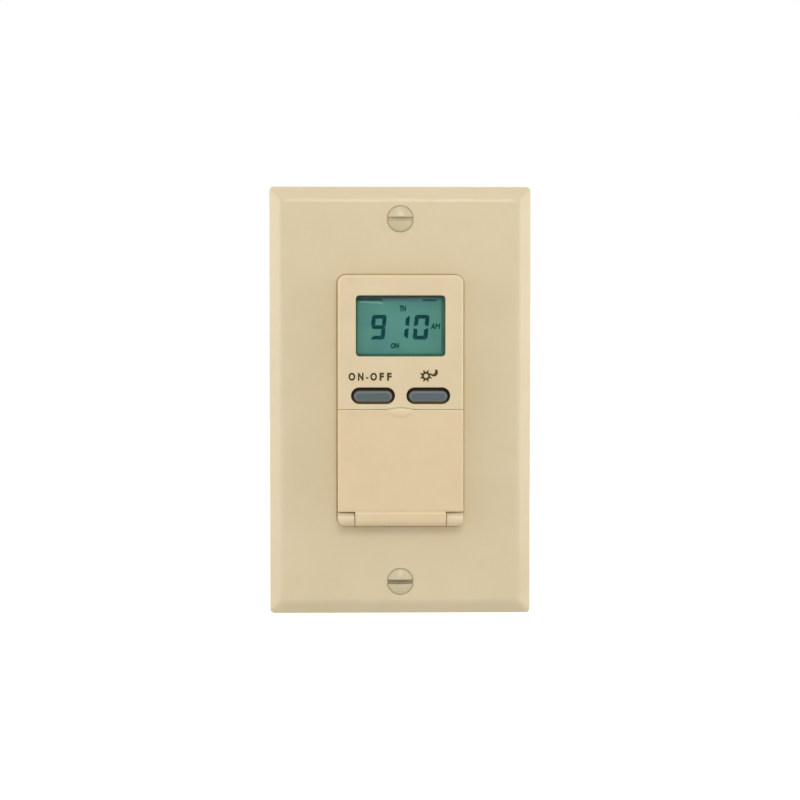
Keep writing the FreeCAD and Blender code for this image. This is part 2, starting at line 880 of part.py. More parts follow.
def make_thumb_lip():
    # a lens-shaped ridge: an arc swept round a line behind the door's face
    depth = (lip_half_height**2 - lip_height**2) / (2 * lip_height)
    axis_y = bezel_front + depth
    tip_right = Vector(lip_half_width, bezel_front, 0)
    tip_left = Vector(-lip_half_width, bezel_front, 0)
    crest = Vector(0, bezel_front - lip_height, 0)
    foot_right = Vector(lip_half_width, axis_y, 0)
    foot_left = Vector(-lip_half_width, axis_y, 0)
    outline = Part.Wire(
        [
            Part.Arc(tip_left, crest, tip_right).toShape(),
            Part.LineSegment(tip_right, foot_right).toShape(),
            Part.LineSegment(foot_right, foot_left).toShape(),
            Part.LineSegment(foot_left, tip_left).toShape(),
        ]
    )
    spindle = Part.Face(outline).revolve(Vector(0, axis_y, 0), Vector(1, 0, 0), 360)
    spindle.translate(Vector(0, 0, door_top - lip_drop))
    return spindle


def make_key(cap, wall_back, flange_size, plunger_top, x, z):
    # the flange stops the cap at the wall that it comes through
    flange_front = wall_back + flange_clearance
    flange_back = flange_front + flange_thickness
    flange = stadium(*flange_size, flange_front, flange_back, x, z)
    stem = rod_y(stem_radius, flange_back - key_root, plunger_top, x, z)
    return cap.fuse([flange, stem]).removeSplitter()


def make_front_key(side):
    x, z = side * front_key_x, front_key_z
    front = bezel_front + front_key_sunk
    root = front_wall_back + flange_clearance + key_root
    cap = stadium(front_key_length, front_key_height, front, root, x, z)
    cap = cap.makeFillet(front_key_round, edges_at(cap, front))
    flange_length = front_key_length + 2 * (front_key_gap + front_flange_extra)
    flange_height = front_key_height + 2 * (front_key_gap + front_flange_rise)
    flange_size = (flange_length, flange_height)
    return make_key(cap, front_wall_back, flange_size, front_plunger_top, x, z)


def make_setting_key(x, z):
    front = well_face - setting_key_proud
    root = well_back + flange_clearance + key_root
    cap = stadium(setting_key_length, setting_key_height, front, root, x, z)
    cap = cap.makeChamfer(setting_key_chamfer, edges_at(cap, front))
    flange_length = setting_key_length + 2 * (setting_key_gap + setting_flange_extra)
    flange_height = setting_key_height + 2 * (setting_key_gap + setting_flange_rise)
    flange_size = (flange_length, flange_height)
    return make_key(cap, well_back, flange_size, setting_plunger_top, x, z)


def make_plunger(top, rise, x, z):
    return rod_y(plunger_radius, top, top + rise + plunger_sunk, x, z)


def make_switch_body(size, height, travel, x, z):
    front = board_front - height
    body = rounded_slab(size, size, switch_corner, front, board_front, x, z)
    hole_end = front + plunger_sunk + travel + plunger_room
    return body.cut(rod_y(plunger_radius + plunger_clearance, front - past, hole_end, x, z))


def make_front_switches():
    size, height, travel = front_switch_size, front_switch_height, front_key_travel
    places = [(side * front_key_x, front_key_z) for side in both]
    return group([make_switch_body(size, height, travel, x, z) for x, z in places])


def make_setting_switches():
    size, height, travel = setting_switch_size, setting_switch_height, setting_key_travel
    places = [(x, z) for x in setting_columns for z in setting_rows]
    return group([make_switch_body(size, height, travel, x, z) for x, z in places])


def make_lens():
    width = window_width + 2 * lens_border
    height = window_height + 2 * lens_border
    return rounded_slab(width, height, window_corner, front_wall_back, lens_back, 0, window_z)


def glass_layer(height, y0, y1, room=0.0):
    half_width = glass_width / 2 + room
    half_height = height / 2 + room
    return block(-half_width, half_width, y0, y1, window_z - half_height, window_z + half_height)


def zebra_strips(y0, y1, room=0.0):
    half_length = glass_width / 2 - strip_border + room
    half_thickness = strip_thickness / 2 + room
    strips = []
    for side in both:
        z = window_z + side * strip_centre
        strips.append(block(-half_length, half_length, y0, y1, z - half_thickness, z + half_thickness))
    return strips


def make_lcd_frame():
    # the glass lies in its pocket and the strips stand in its slots
    frame = rounded_slab(
        lcd_frame_width, lcd_frame_height, lcd_frame_corner, front_glass_front, board_front, 0, window_z
    )
    back = board_front + past
    half_hollow = glass_width / 2 - lcd_frame_lip
    low, high = window_z - glass_height / 2, window_z + glass_height / 2
    cuts = [
        glass_layer(glass_height, front_glass_front - past, shelf_front, stack_gap),
        block(
            -half_hollow, half_hollow, shelf_front - past, back, low + lcd_frame_bar, high - lcd_frame_bar
        ),
    ]
    cuts += zebra_strips(shelf_front - past, back, stack_gap)
    for x, z in case_screw_places():
        cuts.append(rod_y(bezel_boss_radius + boss_clearance, bezel_front, bezel_back, x, z))
    return frame.cut(cuts)


def logic_board_slab(y0, y1):
    return rounded_slab(logic_board_width, logic_board_height, board_corner, y0, y1)


def make_insulator():
    # a thin frame between the board and the strap
    window = rounded_slab(
        strap_window_width, strap_window_height, strap_window_corner, insulator_front - past, past
    )
    return logic_board_slab(insulator_front, strap_front).cut(window)


def header_pin_row(y0, y1, side):
    first = -(header_pins - 1) * header_pitch / 2
    half = side / 2
    pins = []
    for i in range(header_pins):
        x = first + i * header_pitch
        pins.append(block(x - half, x + half, y0, y1, header_z - half, header_z + half))
    return pins


def header_body(y0, y1):
    half = header_pins * header_pitch / 2
    return block(-half, half, y0, y1, header_z - header_width / 2, header_z + header_width / 2)


def make_socket_header():
    holes_front = header_mouth - pin_insert - pin_end_gap
    holes = header_pin_row(holes_front, header_mouth + past, pin_side + 2 * pin_fit)
    return header_body(insulator_front, header_mouth).cut(holes)


def make_pin_header():
    holes = header_pin_row(header_mouth, power_board_back, pin_side + 2 * pin_fit)
    return header_body(power_board_front - header_block, power_board_front).cut(holes)


def make_header_pins():
    return group(header_pin_row(header_mouth - pin_insert, power_board_back + pin_tail, pin_side))


def board_post_places():
    return [(sx * board_post_x, sz * board_post_z) for sx in both for sz in both]


def board_screw_places():
    # only two of the four posts take a screw
    return [(side * board_post_x, -side * board_post_z) for side in both]


def make_power_board():
    board = rounded_slab(
        power_board_width, power_board_height, board_corner, power_board_front, power_board_back
    )
    front, back = power_board_front - past, power_board_back + past
    cuts = header_pin_row(front, back, pin_side + 2 * pin_fit)
    for x, z in board_screw_places():
        cuts.append(rod_y(board_screw_radius + board_screw_clearance, front, back, x, z))
    for side, level in terminals():
        cuts.append(terminal_tail(side, level, front, back, tail_clearance))
    return board.cut(cuts)


def make_board_screws():
    head_front = power_board_front - board_screw_head_height
    head = rod_y(board_screw_head_radius, head_front, power_board_front)
    head = head.makeChamfer(screw_edge_chamfer, edges_at(head, head_front))
    shank = rod_y(board_screw_radius, head_front, power_board_back + board_screw_reach)
    floor = head_front + board_screw_head_height / 2
    slot = slot_across(board_screw_head_radius, head_front, floor, board_screw_slot)
    screw = head.fuse(shank).cut(slot).removeSplitter()
    return group([screw.translated(Vector(x, 0, z)) for x, z in board_screw_places()])


def terminals():
    return [(side, level) for side in both for level in both]


def terminal_bay(side, level, wall):
    # the recess itself, or with a wall the block that stands round it
    x0, x1 = side_span(side, bay_floor_x - wall, housing_width / 2 + past)
    z = level * terminal_z
    half = bay_height / 2 + wall
    return block(x0, x1, bay_front - wall, bay_end + wall, z - half, z + half)


def terminal_tail(side, level, y0, y1, room):
    x0, x1 = side_span(side, bay_floor_x - room, bay_floor_x + terminal_plate_thickness + room)
    z = level * terminal_z
    half = tail_width / 2 + room
    return block(x0, x1, y0, y1, z - half, z + half)


def make_rear_housing():
    mouth = rounded_wire(housing_width, housing_height, housing_corner, 0)
    back_width = housing_width - 2 * housing_draft
    back_height = housing_height - 2 * housing_draft
    back = rounded_wire(back_width, back_height, housing_corner, housing_depth)
    outer = Part.makeLoft([mouth, back], True, True)
    body = outer.makeChamfer(housing_back_chamfer, edges_at(outer, housing_depth))
    hollow_width = back_width - 2 * housing_wall
    hollow_height = back_height - 2 * housing_wall
    hollow_corner = housing_corner - housing_wall / 2
    body = body.cut(rounded_slab(hollow_width, hollow_height, hollow_corner, -past, housing_inside))
    beyond = housing_depth + past
    additions = []
    cuts = []
    for x, z in case_screw_places():
        additions.append(rod_y(tube_radius, 0, housing_inside + post_root, x, z).common(outer))
        cuts.append(rod_y(case_screw_radius + case_screw_clearance, -past, beyond, x, z))
        head_room = case_screw_head_radius + case_screw_clearance
        cuts.append(rod_y(head_room, housing_depth - case_screw_sunk, beyond, x, z))
    for x, z in board_post_places():
        additions.append(rod_y(board_post_radius, power_board_back, housing_inside + post_root, x, z))
    screw_hole_end = power_board_back + board_screw_reach + blind_hole_extra
    for x, z in board_screw_places():
        radius = board_screw_radius + self_tap_clearance
        cuts.append(rod_y(radius, power_board_back - past, screw_hole_end, x, z))
    for side, level in terminals():
        additions.append(terminal_bay(side, level, bay_wall).common(outer))
        cuts.append(terminal_bay(side, level, 0))
        slot_end = bay_end + bay_wall + past
        cuts.append(terminal_tail(side, level, bay_end - past, slot_end, tail_clearance))
        x0, x1 = side_span(side, bay_floor_x - bay_wall - past, bay_floor_x + past)
        radius = terminal_screw_radius + terminal_hole_clearance
        cuts.append(rod_x(radius, x0, x1, terminal_screw_y, level * terminal_z))
    return body.fuse(additions).cut(cuts).removeSplitter()


def make_terminal_plates():
    plates = []
    half = bay_height / 2 - terminal_plate_margin
    front, back = bay_front + terminal_plate_margin, bay_end - terminal_plate_margin
    for side, level in terminals():
        z = level * terminal_z
        x0, x1 = side_span(side, bay_floor_x, bay_floor_x + terminal_plate_thickness)
        plate = block(x0, x1, front, back, z - half, z + half)
        tail = terminal_tail(side, level, back - past, power_board_back + pin_tail, 0)
        radius = terminal_screw_radius + thread_clearance
        hole = rod_x(radius, x0 - past, x1 + past, terminal_screw_y, z)
        plates.append(plate.fuse(tail).cut(hole).removeSplitter())
    return group(plates)


def make_terminal_screws():
    screws = []
    for side, level in terminals():
        screw = make_side_screw(
            terminal_screw_radius,
            terminal_screw_head_radius,
            terminal_screw_head_height,
            side * (bay_floor_x + terminal_plate_thickness),
            terminal_screw_wire_gap,
            side * (bay_floor_x - terminal_screw_reach),
            side,
        )
        screws.append(screw.translated(Vector(0, terminal_screw_y, level * terminal_z)))
    return group(screws)


def make_case_screws():
    head_front = housing_depth - case_screw_sunk
    head_back = head_front + case_screw_head_height
    head = rod_y(case_screw_head_radius, head_front, head_back)
    head = head.makeChamfer(screw_edge_chamfer, edges_at(head, head_back))
    shank = rod_y(case_screw_radius, bezel_back - case_screw_engagement, head_back)
    floor = head_back - case_screw_cross_depth
    long, short = case_screw_cross / 2, board_screw_slot / 2
    cross = block(-long, long, floor, head_back + past, -short, short)
    cross = cross.fuse(block(-short, short, floor, head_back + past, -long, long))
    screw = head.fuse(shank).cut(cross).removeSplitter()
    return group([screw.translated(Vector(x, 0, z)) for x, z in case_screw_places()])


def make_relay_base():
    return rounded_slab(
        relay_width, relay_length, relay_corner, relay_base_front, power_board_front, 0, relay_z
    )


def make_relay_cover():
    cover = rounded_slab(
        relay_width, relay_length, relay_corner, relay_front, relay_base_front, 0, relay_z
    )
    cover = cover.makeFillet(relay_edge_round, edges_at(cover, relay_front))
    width = relay_width - 2 * relay_cover_wall
    length = relay_length - 2 * relay_cover_wall
    inside = relay_front + relay_cover_wall
    return cover.cut(
        rounded_slab(width, length, relay_corner / 2, inside, relay_base_front + past, 0, relay_z)
    )


def make_relay_yoke():
    # an L of soft iron with the core riveted into its foot
    half = yoke_width / 2
    foot = block(-half, half, yoke_foot_front, relay_base_front, yoke_z, coil_z + bobbin_radius)
    leg = block(-half, half, yoke_top, relay_base_front, yoke_z, yoke_z + yoke_thickness)
    core = rod_y(core_radius, yoke_top + core_gap, relay_base_front, 0, coil_z)
    return foot.fuse([leg, core]).removeSplitter()


def make_relay_coil():
    front = yoke_top + core_gap + core_proud
    coil = rod_y(winding_radius, front, yoke_foot_front, 0, coil_z)
    flanges = [
        rod_y(bobbin_radius, y, y + bobbin_flange, 0, coil_z)
        for y in (front, yoke_foot_front - bobbin_flange)
    ]
    bore = rod_y(core_radius + coil_clearance, front - past, yoke_foot_front + past, 0, coil_z)
    return coil.fuse(flanges).cut(bore)


def make_relay_armature():
    half = yoke_width / 2
    return block(-half, half, armature_front, armature_back, yoke_z, yoke_z + armature_length)


def make_contact_arm():
    # a leaf spring on the armature with a contact button at its free end
    half = contact_arm_width / 2
    leaf_front = armature_front - contact_arm_thickness
    start = yoke_z + contact_arm_setback
    leaf = block(-half, half, leaf_front, armature_front, start, contact_z + contact_radius)
    button = rod_y(contact_radius, leaf_front, contact_face, 0, contact_z)
    return leaf.fuse(button).removeSplitter()


def make_fixed_contact():
    half = contact_arm_width / 2
    face = contact_face + contact_travel
    bracket_front = face + contact_height
    bracket_back = bracket_front + contact_post_thickness
    bracket_end = contact_z + contact_radius + contact_shelf_margin
    button = rod_y(contact_radius, face, bracket_back, 0, contact_z)
    shelf = block(-half, half, bracket_front, bracket_back, contact_z - contact_radius, bracket_end)
    post_start = bracket_end - contact_post_thickness
    post = block(-half, half, bracket_front, relay_base_front, post_start, bracket_end)
    return button.fuse([shelf, post]).removeSplitter()


def make_film_capacitor():
    front = power_board_front - film_cap_height
    half = film_cap_width / 2
    low = film_cap_top - film_cap_thickness
    body = block(-half, half, front, power_board_front, low, film_cap_top)
    return body.makeChamfer(small_chamfer, edges_at(body, front))


def make_storage_capacitor():
    front = power_board_front - storage_cap_height
    z = small_parts_top - storage_cap_radius
    can = rod_y(storage_cap_radius, front, power_board_front, storage_cap_x, z)
    return can.makeChamfer(small_chamfer, edges_at(can, front))


def make_varistor():
    z = small_parts_top - varistor_radius
    centre_y = power_board_front - varistor_lead - varistor_radius
    half = varistor_thickness / 2
    disc = rod_x(varistor_radius, varistor_x - half, varistor_x + half, centre_y, z)
    disc = disc.makeChamfer(varistor_chamfer, circles_of(disc))
    spread = lead_spacing / 2
    leads = [
        rod_y(lead_radius, centre_y, power_board_front, varistor_x, z + side * spread) for side in both
    ]
    return disc.fuse(leads).removeSplitter()


def make_controller_chip():
    x, z = chip_place
    back = insulator_front + chip_height
    body = rounded_slab(chip_side, chip_side, chip_corner, insulator_front, back, x, z)
    reach = chip_side / 2 + chip_leg_reach
    half = chip_leg_width / 2
    leg_back = insulator_front + chip_leg_height
    legs = []
    for i in range(chip_legs):
        offset = (i - (chip_legs - 1) / 2) * chip_leg_pitch
        low, high = offset - half, offset + half
        legs.append(block(x - reach, x + reach, insulator_front, leg_back, z + low, z + high))
        legs.append(block(x + low, x + high, insulator_front, leg_back, z - reach, z + reach))
    return body.fuse(legs).removeSplitter()


def make_crystal():
    x, z = crystal_place
    start = Vector(x, insulator_front + crystal_radius, z - crystal_length / 2)
    return Part.makeCylinder(crystal_radius, crystal_length, start, Vector(0, 0, 1))


def make_backup_cell():
    front = insulator_front + clip_thickness
    cell = rod_y(cell_radius, front, front + cell_height, 0, cell_z)
    return cell.makeChamfer(small_chamfer, edges_at(cell, front + cell_height))


def make_cell_clip():
    # a spring-steel bridge over the cell, with a foot on the board at each end
    half = clip_width / 2
    cell_back = insulator_front + clip_thickness + cell_height
    bridge_back = cell_back + clip_thickness
    foot_back = insulator_front + clip_thickness
    inner = cell_radius + clip_gap
    outer = inner + clip_thickness
    bridge = block(-half, half, cell_back, bridge_back, cell_z - outer, cell_z + outer)
    legs = []
    for side in both:
        z0, z1 = side_span(side, inner, outer)
        legs.append(block(-half, half, insulator_front, bridge_back, cell_z + z0, cell_z + z1))
        z0, z1 = side_span(side, inner, outer + clip_foot)
        legs.append(block(-half, half, insulator_front, foot_back, cell_z + z0, cell_z + z1))
    pad = rod_y(cell_pad_radius, insulator_front, foot_back, 0, cell_z)
    return group([bridge.fuse(legs).removeSplitter(), pad])


def front_key_nodes(name, side):
    x, z = side * front_key_x, front_key_z
    return {
        name + "_key": make_front_key(side),
        name + "_plunger": make_plunger(front_plunger_top, front_plunger_rise, x, z),
    }


def setting_key_nodes(name, x, z):
    return {
        name + "_key": make_setting_key(x, z),
        name + "_plunger": make_plunger(setting_plunger_top, setting_plunger_rise, x, z),
    }


def all_nodes():
    nodes = {
        "wall_plate": make_wall_plate(),
        "plate_screws": make_plate_screws(),
        "mounting_strap": make_mounting_strap(),
        "box_screws": make_box_screws(),
        "screw_washers": make_screw_washers(),
        "ground_screw": make_ground_screw(),
        "bezel": make_bezel(),
        "door": make_door(),
        "display_lens": make_lens(),
        "lcd_front_glass": glass_layer(glass_height, front_glass_front, rear_glass_front),
        "lcd_rear_glass": glass_layer(short_glass_height, rear_glass_front, reflector_front),
        "lcd_reflector": glass_layer(short_glass_height, reflector_front, shelf_front),
        "zebra_strips": group(zebra_strips(rear_glass_front, board_front)),
        "lcd_frame": make_lcd_frame(),
        "logic_board": logic_board_slab(board_front, insulator_front),
        "insulating_sheet": make_insulator(),
        "front_switches": make_front_switches(),
        "setting_switches": make_setting_switches(),
        "controller_chip": make_controller_chip(),
        "crystal": make_crystal(),
        "backup_cell": make_backup_cell(),
        "cell_clip": make_cell_clip(),
        "socket_header": make_socket_header(),
        "pin_header": make_pin_header(),
        "header_pins": make_header_pins(),
        "power_board": make_power_board(),
        "board_screws": make_board_screws(),
        "relay_base": make_relay_base(),
        "relay_cover": make_relay_cover(),
        "relay_yoke": make_relay_yoke(),
        "relay_coil": make_relay_coil(),
        "relay_armature": make_relay_armature(),
        "relay_contact_arm": make_contact_arm(),
        "relay_fixed_contact": make_fixed_contact(),
        "film_capacitor": make_film_capacitor(),
        "storage_capacitor": make_storage_capacitor(),
        "varistor": make_varistor(),
        "rear_housing": make_rear_housing(),
        "case_screws": make_case_screws(),
        "terminal_plates": make_terminal_plates(),
        "terminal_screws": make_terminal_screws(),
    }
    nodes.update(front_key_nodes("on_off", -1))
    nodes.update(front_key_nodes("sun_moon", 1))
    names = (("clock", "day", "hour"), ("program", "date", "minute"))
    for x, column in zip(setting_columns, names):
        for z, name in zip(setting_rows, column):
            nodes.update(setting_key_nodes(name, x, z))
    return nodes


os.makedirs("parts", exist_ok=True)
for node, shape in all_nodes().items():
    shape.exportStep("parts/" + node + ".step")
    volume = sum(s.Volume for s in shape.Solids)
    print(f"{node:22s} solids {len(shape.Solids)}  volume {volume:9.2f}  valid {shape.isValid()}")
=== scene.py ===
import bmesh
import bpy
import math
from mathutils import Matrix, Vector


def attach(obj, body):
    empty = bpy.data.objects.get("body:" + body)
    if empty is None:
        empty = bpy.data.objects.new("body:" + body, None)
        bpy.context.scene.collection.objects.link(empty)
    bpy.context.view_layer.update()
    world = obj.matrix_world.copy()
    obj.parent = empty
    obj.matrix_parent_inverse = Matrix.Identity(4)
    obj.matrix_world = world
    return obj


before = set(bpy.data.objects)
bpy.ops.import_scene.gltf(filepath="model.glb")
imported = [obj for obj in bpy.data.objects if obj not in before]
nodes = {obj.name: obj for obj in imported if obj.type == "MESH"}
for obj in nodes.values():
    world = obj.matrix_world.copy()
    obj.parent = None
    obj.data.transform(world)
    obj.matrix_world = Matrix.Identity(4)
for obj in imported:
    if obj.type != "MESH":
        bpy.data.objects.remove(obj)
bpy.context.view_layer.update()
scene = bpy.context.scene
print("frame: loaded", len(nodes), "nodes")

# The frame is in metres. Pieces are modelled in millimetres, with the same axes, and scaled at the end.
metresPerMm = 0.001
quarterTurn = math.radians(90)
fullTurn = math.radians(360)
smoothAngle = math.radians(32)


def linearColour(hexCode):
    # an sRGB hex value, such as #e3d2b4, as the linear colour that a shader socket takes
    channels = [int(hexCode[i:i + 2], 16) / 255 for i in (1, 3, 5)]
    linear = [c / 12.92 if c <= 0.04045 else ((c + 0.055) / 1.055) ** 2.4 for c in channels]
    return (*linear, 1.0)


def patternScale(sizeMm):
    # Object coordinates are in metres, so a feature of that size repeats this often in one of them
    return 1 / (sizeMm * metresPerMm)


def addNode(tree, kind, settings=None, values=None, links=None):
    # settings are the node's own, and values and links go to its sockets, by name or by number
    node = tree.nodes.new(kind)
    for name, value in (settings or {}).items():
        setattr(node, name, value)
    for name, value in (values or {}).items():
        node.inputs[name].default_value = value
    for name, source in (links or {}).items():
        tree.links.new(source, node.inputs[name])
    return node


def newFinish(name, shader):
    # a material with its Principled shader's own sockets set, its node tree and its Object coordinates
    material = bpy.data.materials.new(name)
    material.use_nodes = True
    tree = material.node_tree
    tree.nodes.clear()
    surface = addNode(tree, "ShaderNodeBsdfPrincipled", values=shader)
    addNode(tree, "ShaderNodeOutputMaterial", links={"Surface": surface.outputs["BSDF"]})
    coords = addNode(tree, "ShaderNodeTexCoord").outputs["Object"]
    return material, tree, surface, coords


# noise with three layers of detail for clouds, two for grain and one for a slow drift
softNoise = {"Detail": 3.0, "Roughness": 0.55}
fineNoise = {"Detail": 2.0, "Roughness": 0.55}
slowNoise = {"Detail": 1.0, "Roughness": 0.55}
# noise stays near the middle of its range, and this spreads it from 0 to 1
noiseSpread = {"From Min": 0.3, "From Max": 0.7, "To Min": 0.0, "To Max": 1.0}
# a mix of two colours, and the numbers of its sockets for them and for the mixed one
colourMix = {"data_type": "RGBA"}
mixFirst, mixSecond, mixed = 6, 7, 2


def driftingColour(tree, coords, sizeMm, noise, first, second):
    # one colour drifts into another, in lumps of one size
    lumps = {"Scale": patternScale(sizeMm), **noise}
    drift = addNode(tree, "ShaderNodeTexNoise", None, lumps, {"Vector": coords}).outputs["Fac"]
    share = addNode(tree, "ShaderNodeMapRange", None, noiseSpread, {"Value": drift}).outputs["Result"]
    colours = {mixFirst: linearColour(first), mixSecond: linearColour(second)}
    return addNode(tree, "ShaderNodeMix", colourMix, colours, {"Factor": share}).outputs[mixed]


def rippledSurface(tree, surface, coords, sizeMm, depthMm):
    # the surface swells and sinks a little, in lumps of one size
    lumps = {"Scale": patternScale(sizeMm), **softNoise}
    ripple = addNode(tree, "ShaderNodeTexNoise", None, lumps, {"Vector": coords}).outputs["Fac"]
    relief = addNode(tree, "ShaderNodeBump", None, {"Distance": depthMm * metresPerMm}, {"Height": ripple})
    tree.links.new(relief.outputs["Normal"], surface.inputs["Normal"])


def unevenSurface(tree, surface, coords, look, lineCoords, lineMm):
    # colour clouds of one size, and finer lines or grain that change the gloss and the height
    colour = driftingColour(tree, coords, look["cloudMm"], softNoise, look["colour"], look["cloudColour"])
    fine = {"Scale": patternScale(lineMm), **fineNoise}
    lines = addNode(tree, "ShaderNodeTexNoise", None, fine, {"Vector": lineCoords}).outputs["Fac"]
    middle, spread = look["roughness"], look["roughnessSpread"]
    gloss = {**noiseSpread, "To Min": middle - spread, "To Max": middle + spread}
    roughness = addNode(tree, "ShaderNodeMapRange", None, gloss, {"Value": lines}).outputs["Result"]
    depth = {"Distance": look["depthMm"] * metresPerMm}
    relief = addNode(tree, "ShaderNodeBump", None, depth, {"Height": lines}).outputs["Normal"]
    for socket, source in (("Base Color", colour), ("Roughness", roughness), ("Normal", relief)):
        tree.links.new(source, surface.inputs[socket])


def mouldedPlastic(name, look):
    # the colour clouds a little, as pigment does, and a fine grain breaks up the gloss
    shader = {"IOR": look.get("ior", 1.53)}
    if "glowMm" in look:
        # thin pale plastic lets some light through its edges and into its gaps
        shader["Subsurface Weight"] = 0.5
        shader["Subsurface Radius"] = (1.0, 0.7, 0.45)
        shader["Subsurface Scale"] = look["glowMm"] * metresPerMm
    if "sheen" in look:
        shader["Sheen Weight"] = look["sheen"]
        shader["Sheen Roughness"] = 0.4
    material, tree, surface, coords = newFinish(name, shader)
    unevenSurface(tree, surface, coords, look, coords, look["grainMm"])
    return material


def workedMetal(name, look):
    # rolled, drawn or turned metal: lines along one direction under a cloudy plating
    material, tree, surface, coords = newFinish(name, {"Metallic": 1.0})
    stretched = addNode(tree, "ShaderNodeMapping", None, {"Scale": look["stretch"]}, {"Vector": coords})
    unevenSurface(tree, surface, coords, look, stretched.outputs["Vector"], look["lineMm"])
    return material


# Grain of a tenth of a millimetre would be lost at the photograph's scale, so it is drawn coarser.
plastics = {
    # nylon, injection moulded in a polished tool: a deep even satin with faint clouds
    "nylonPlate": dict(colour="#d9c9a7", cloudColour="#d5c5a1", cloudMm=14.0, roughness=0.34, roughnessSpread=0.04,
                       grainMm=0.7, depthMm=0.006, glowMm=0.6),
    # ABS, injection moulded in a lightly blasted tool: satin, a shade warmer than the plate
    "absBezel": dict(colour="#ddcba7", cloudColour="#d9c6a2", cloudMm=9.0, roughness=0.42, roughnessSpread=0.06,
                     grainMm=0.45, depthMm=0.01, glowMm=0.6),
    "absDoor": dict(colour="#ddc9a3", cloudColour="#d9c49d", cloudMm=11.0, roughness=0.4, roughnessSpread=0.06,
                    grainMm=0.45, depthMm=0.01, glowMm=0.6),
    # silicone rubber, compression moulded: soft and dull, grey with a green cast
    "siliconeKeys": dict(colour="#566260", cloudColour="#4e5957", cloudMm=3.0, roughness=0.6, roughnessSpread=0.08,
                         grainMm=0.35, depthMm=0.01, ior=1.43, sheen=0.25),
    # a matt tan of painted shade, on the ring in the slit round the bezel and the rings on the hinge pins, where it
    # stands in for the brown shade of those slits
    "slitShadeTan": dict(colour="#b19768", cloudColour="#a98f5f", cloudMm=5.0, roughness=0.6, roughnessSpread=0.06,
                          grainMm=0.4, depthMm=0.01),
    # epoxy enamel sprayed on steel: smooth with a slight orange peel
    "screwEnamel": dict(colour="#cbbe9c", cloudColour="#c4b692", cloudMm=2.5, roughness=0.32, roughnessSpread=0.08,
                        grainMm=0.5, depthMm=0.012),
    # the same enamel in green, for the ground screw
    "greenEnamel": dict(colour="#2c7a4a", cloudColour="#256b40", cloudMm=2.5, roughness=0.32, roughnessSpread=0.08,
                        grainMm=0.5, depthMm=0.012),
    # vulcanised fibre, punched from sheet: matt and slightly fibrous
    "washerFibre": dict(colour="#7c756a", cloudColour="#6c655b", cloudMm=1.5, roughness=0.75, roughnessSpread=0.08,
                        grainMm=0.4, depthMm=0.03),
    # phenolic, moulded with a spark-eroded grain: near black and matt
    "phenolicHousing": dict(colour="#37383a", cloudColour="#303133", cloudMm=12.0, roughness=0.55,
                            roughnessSpread=0.1, grainMm=0.55, depthMm=0.03, ior=1.6),
    # nylon and acetal switch parts, injection moulded: plain satin
    "nylonSwitch": dict(colour="#45464a", cloudColour="#3c3d41", cloudMm=3.0, roughness=0.45, roughnessSpread=0.06,
                        grainMm=0.4, depthMm=0.01),
    "acetalPlunger": dict(colour="#26272a", cloudColour="#202124", cloudMm=2.0, roughness=0.35, roughnessSpread=0.05,
                          grainMm=0.3, depthMm=0.006),
    # carbon-filled silicone, sliced into strips: dull black
    "carbonRubber": dict(colour="#2b2c2e", cloudColour="#232426", cloudMm=2.0, roughness=0.7, roughnessSpread=0.08,
                         grainMm=0.3, depthMm=0.01, ior=1.43),
    # polycarbonate frame round the glass, moulded: off-white satin
    "polycarbonateFrame": dict(colour="#e6e5df", cloudColour="#dedcd4", cloudMm=6.0, roughness=0.4,
                               roughnessSpread=0.05, grainMm=0.4, depthMm=0.008, ior=1.58),
    # polyester film, die cut: waxy and pale
    "polyesterSheet": dict(colour="#d9d3b8", cloudColour="#d0c9ab", cloudMm=5.0, roughness=0.35, roughnessSpread=0.06,
                           grainMm=0.6, depthMm=0.01, ior=1.6),
    # epoxy, transfer moulded round the chip: matt black with a fine grit
    "chipEpoxy": dict(colour="#2a2b2d", cloudColour="#242527", cloudMm=2.0, roughness=0.65, roughnessSpread=0.1,
                      grainMm=0.3, depthMm=0.015),
    # glass-filled polyester headers, moulded: black with dull ends
    "polyesterHeader": dict(colour="#29292b", cloudColour="#212123", cloudMm=2.0, roughness=0.5, roughnessSpread=0.08,
                            grainMm=0.3, depthMm=0.01),
    # polyester base of the relay, moulded: dark grey and dull
    "polyesterBase": dict(colour="#3a3a3d", cloudColour="#323235", cloudMm=3.0, roughness=0.5, roughnessSpread=0.08,
                          grainMm=0.4, depthMm=0.01),
    # polycarbonate cover of the relay, moulded in a polished tool: blue and glossy
    "polycarbonateCover": dict(colour="#2f6aa8", cloudColour="#295f99", cloudMm=5.0, roughness=0.3,
                               roughnessSpread=0.05, grainMm=0.5, depthMm=0.008),
    # polyester box of the film capacitor, filled with epoxy: orange and smooth
    "capacitorBox": dict(colour="#d9912f", cloudColour="#cd8527", cloudMm=4.0, roughness=0.4, roughnessSpread=0.08,
                         grainMm=0.6, depthMm=0.02),
    # vinyl sleeve, shrunk onto the storage capacitor: dark and glossy
    "vinylSleeve": dict(colour="#2c3438", cloudColour="#252c30", cloudMm=4.0, roughness=0.28, roughnessSpread=0.05,
                        grainMm=0.8, depthMm=0.02),
    # epoxy that the varistor is dipped in: blue, with soft lumps
    "varistorEpoxy": dict(colour="#3c5fa0", cloudColour="#345492", cloudMm=2.0, roughness=0.35, roughnessSpread=0.1,
                          grainMm=1.2, depthMm=0.06),
    # pad-printed ink: matt, a little thin in places
    "brownInk": dict(colour="#453315", cloudColour="#52401d", cloudMm=0.6, roughness=0.6, roughnessSpread=0.05,
                     grainMm=0.4, depthMm=0.004, ior=1.3),
}

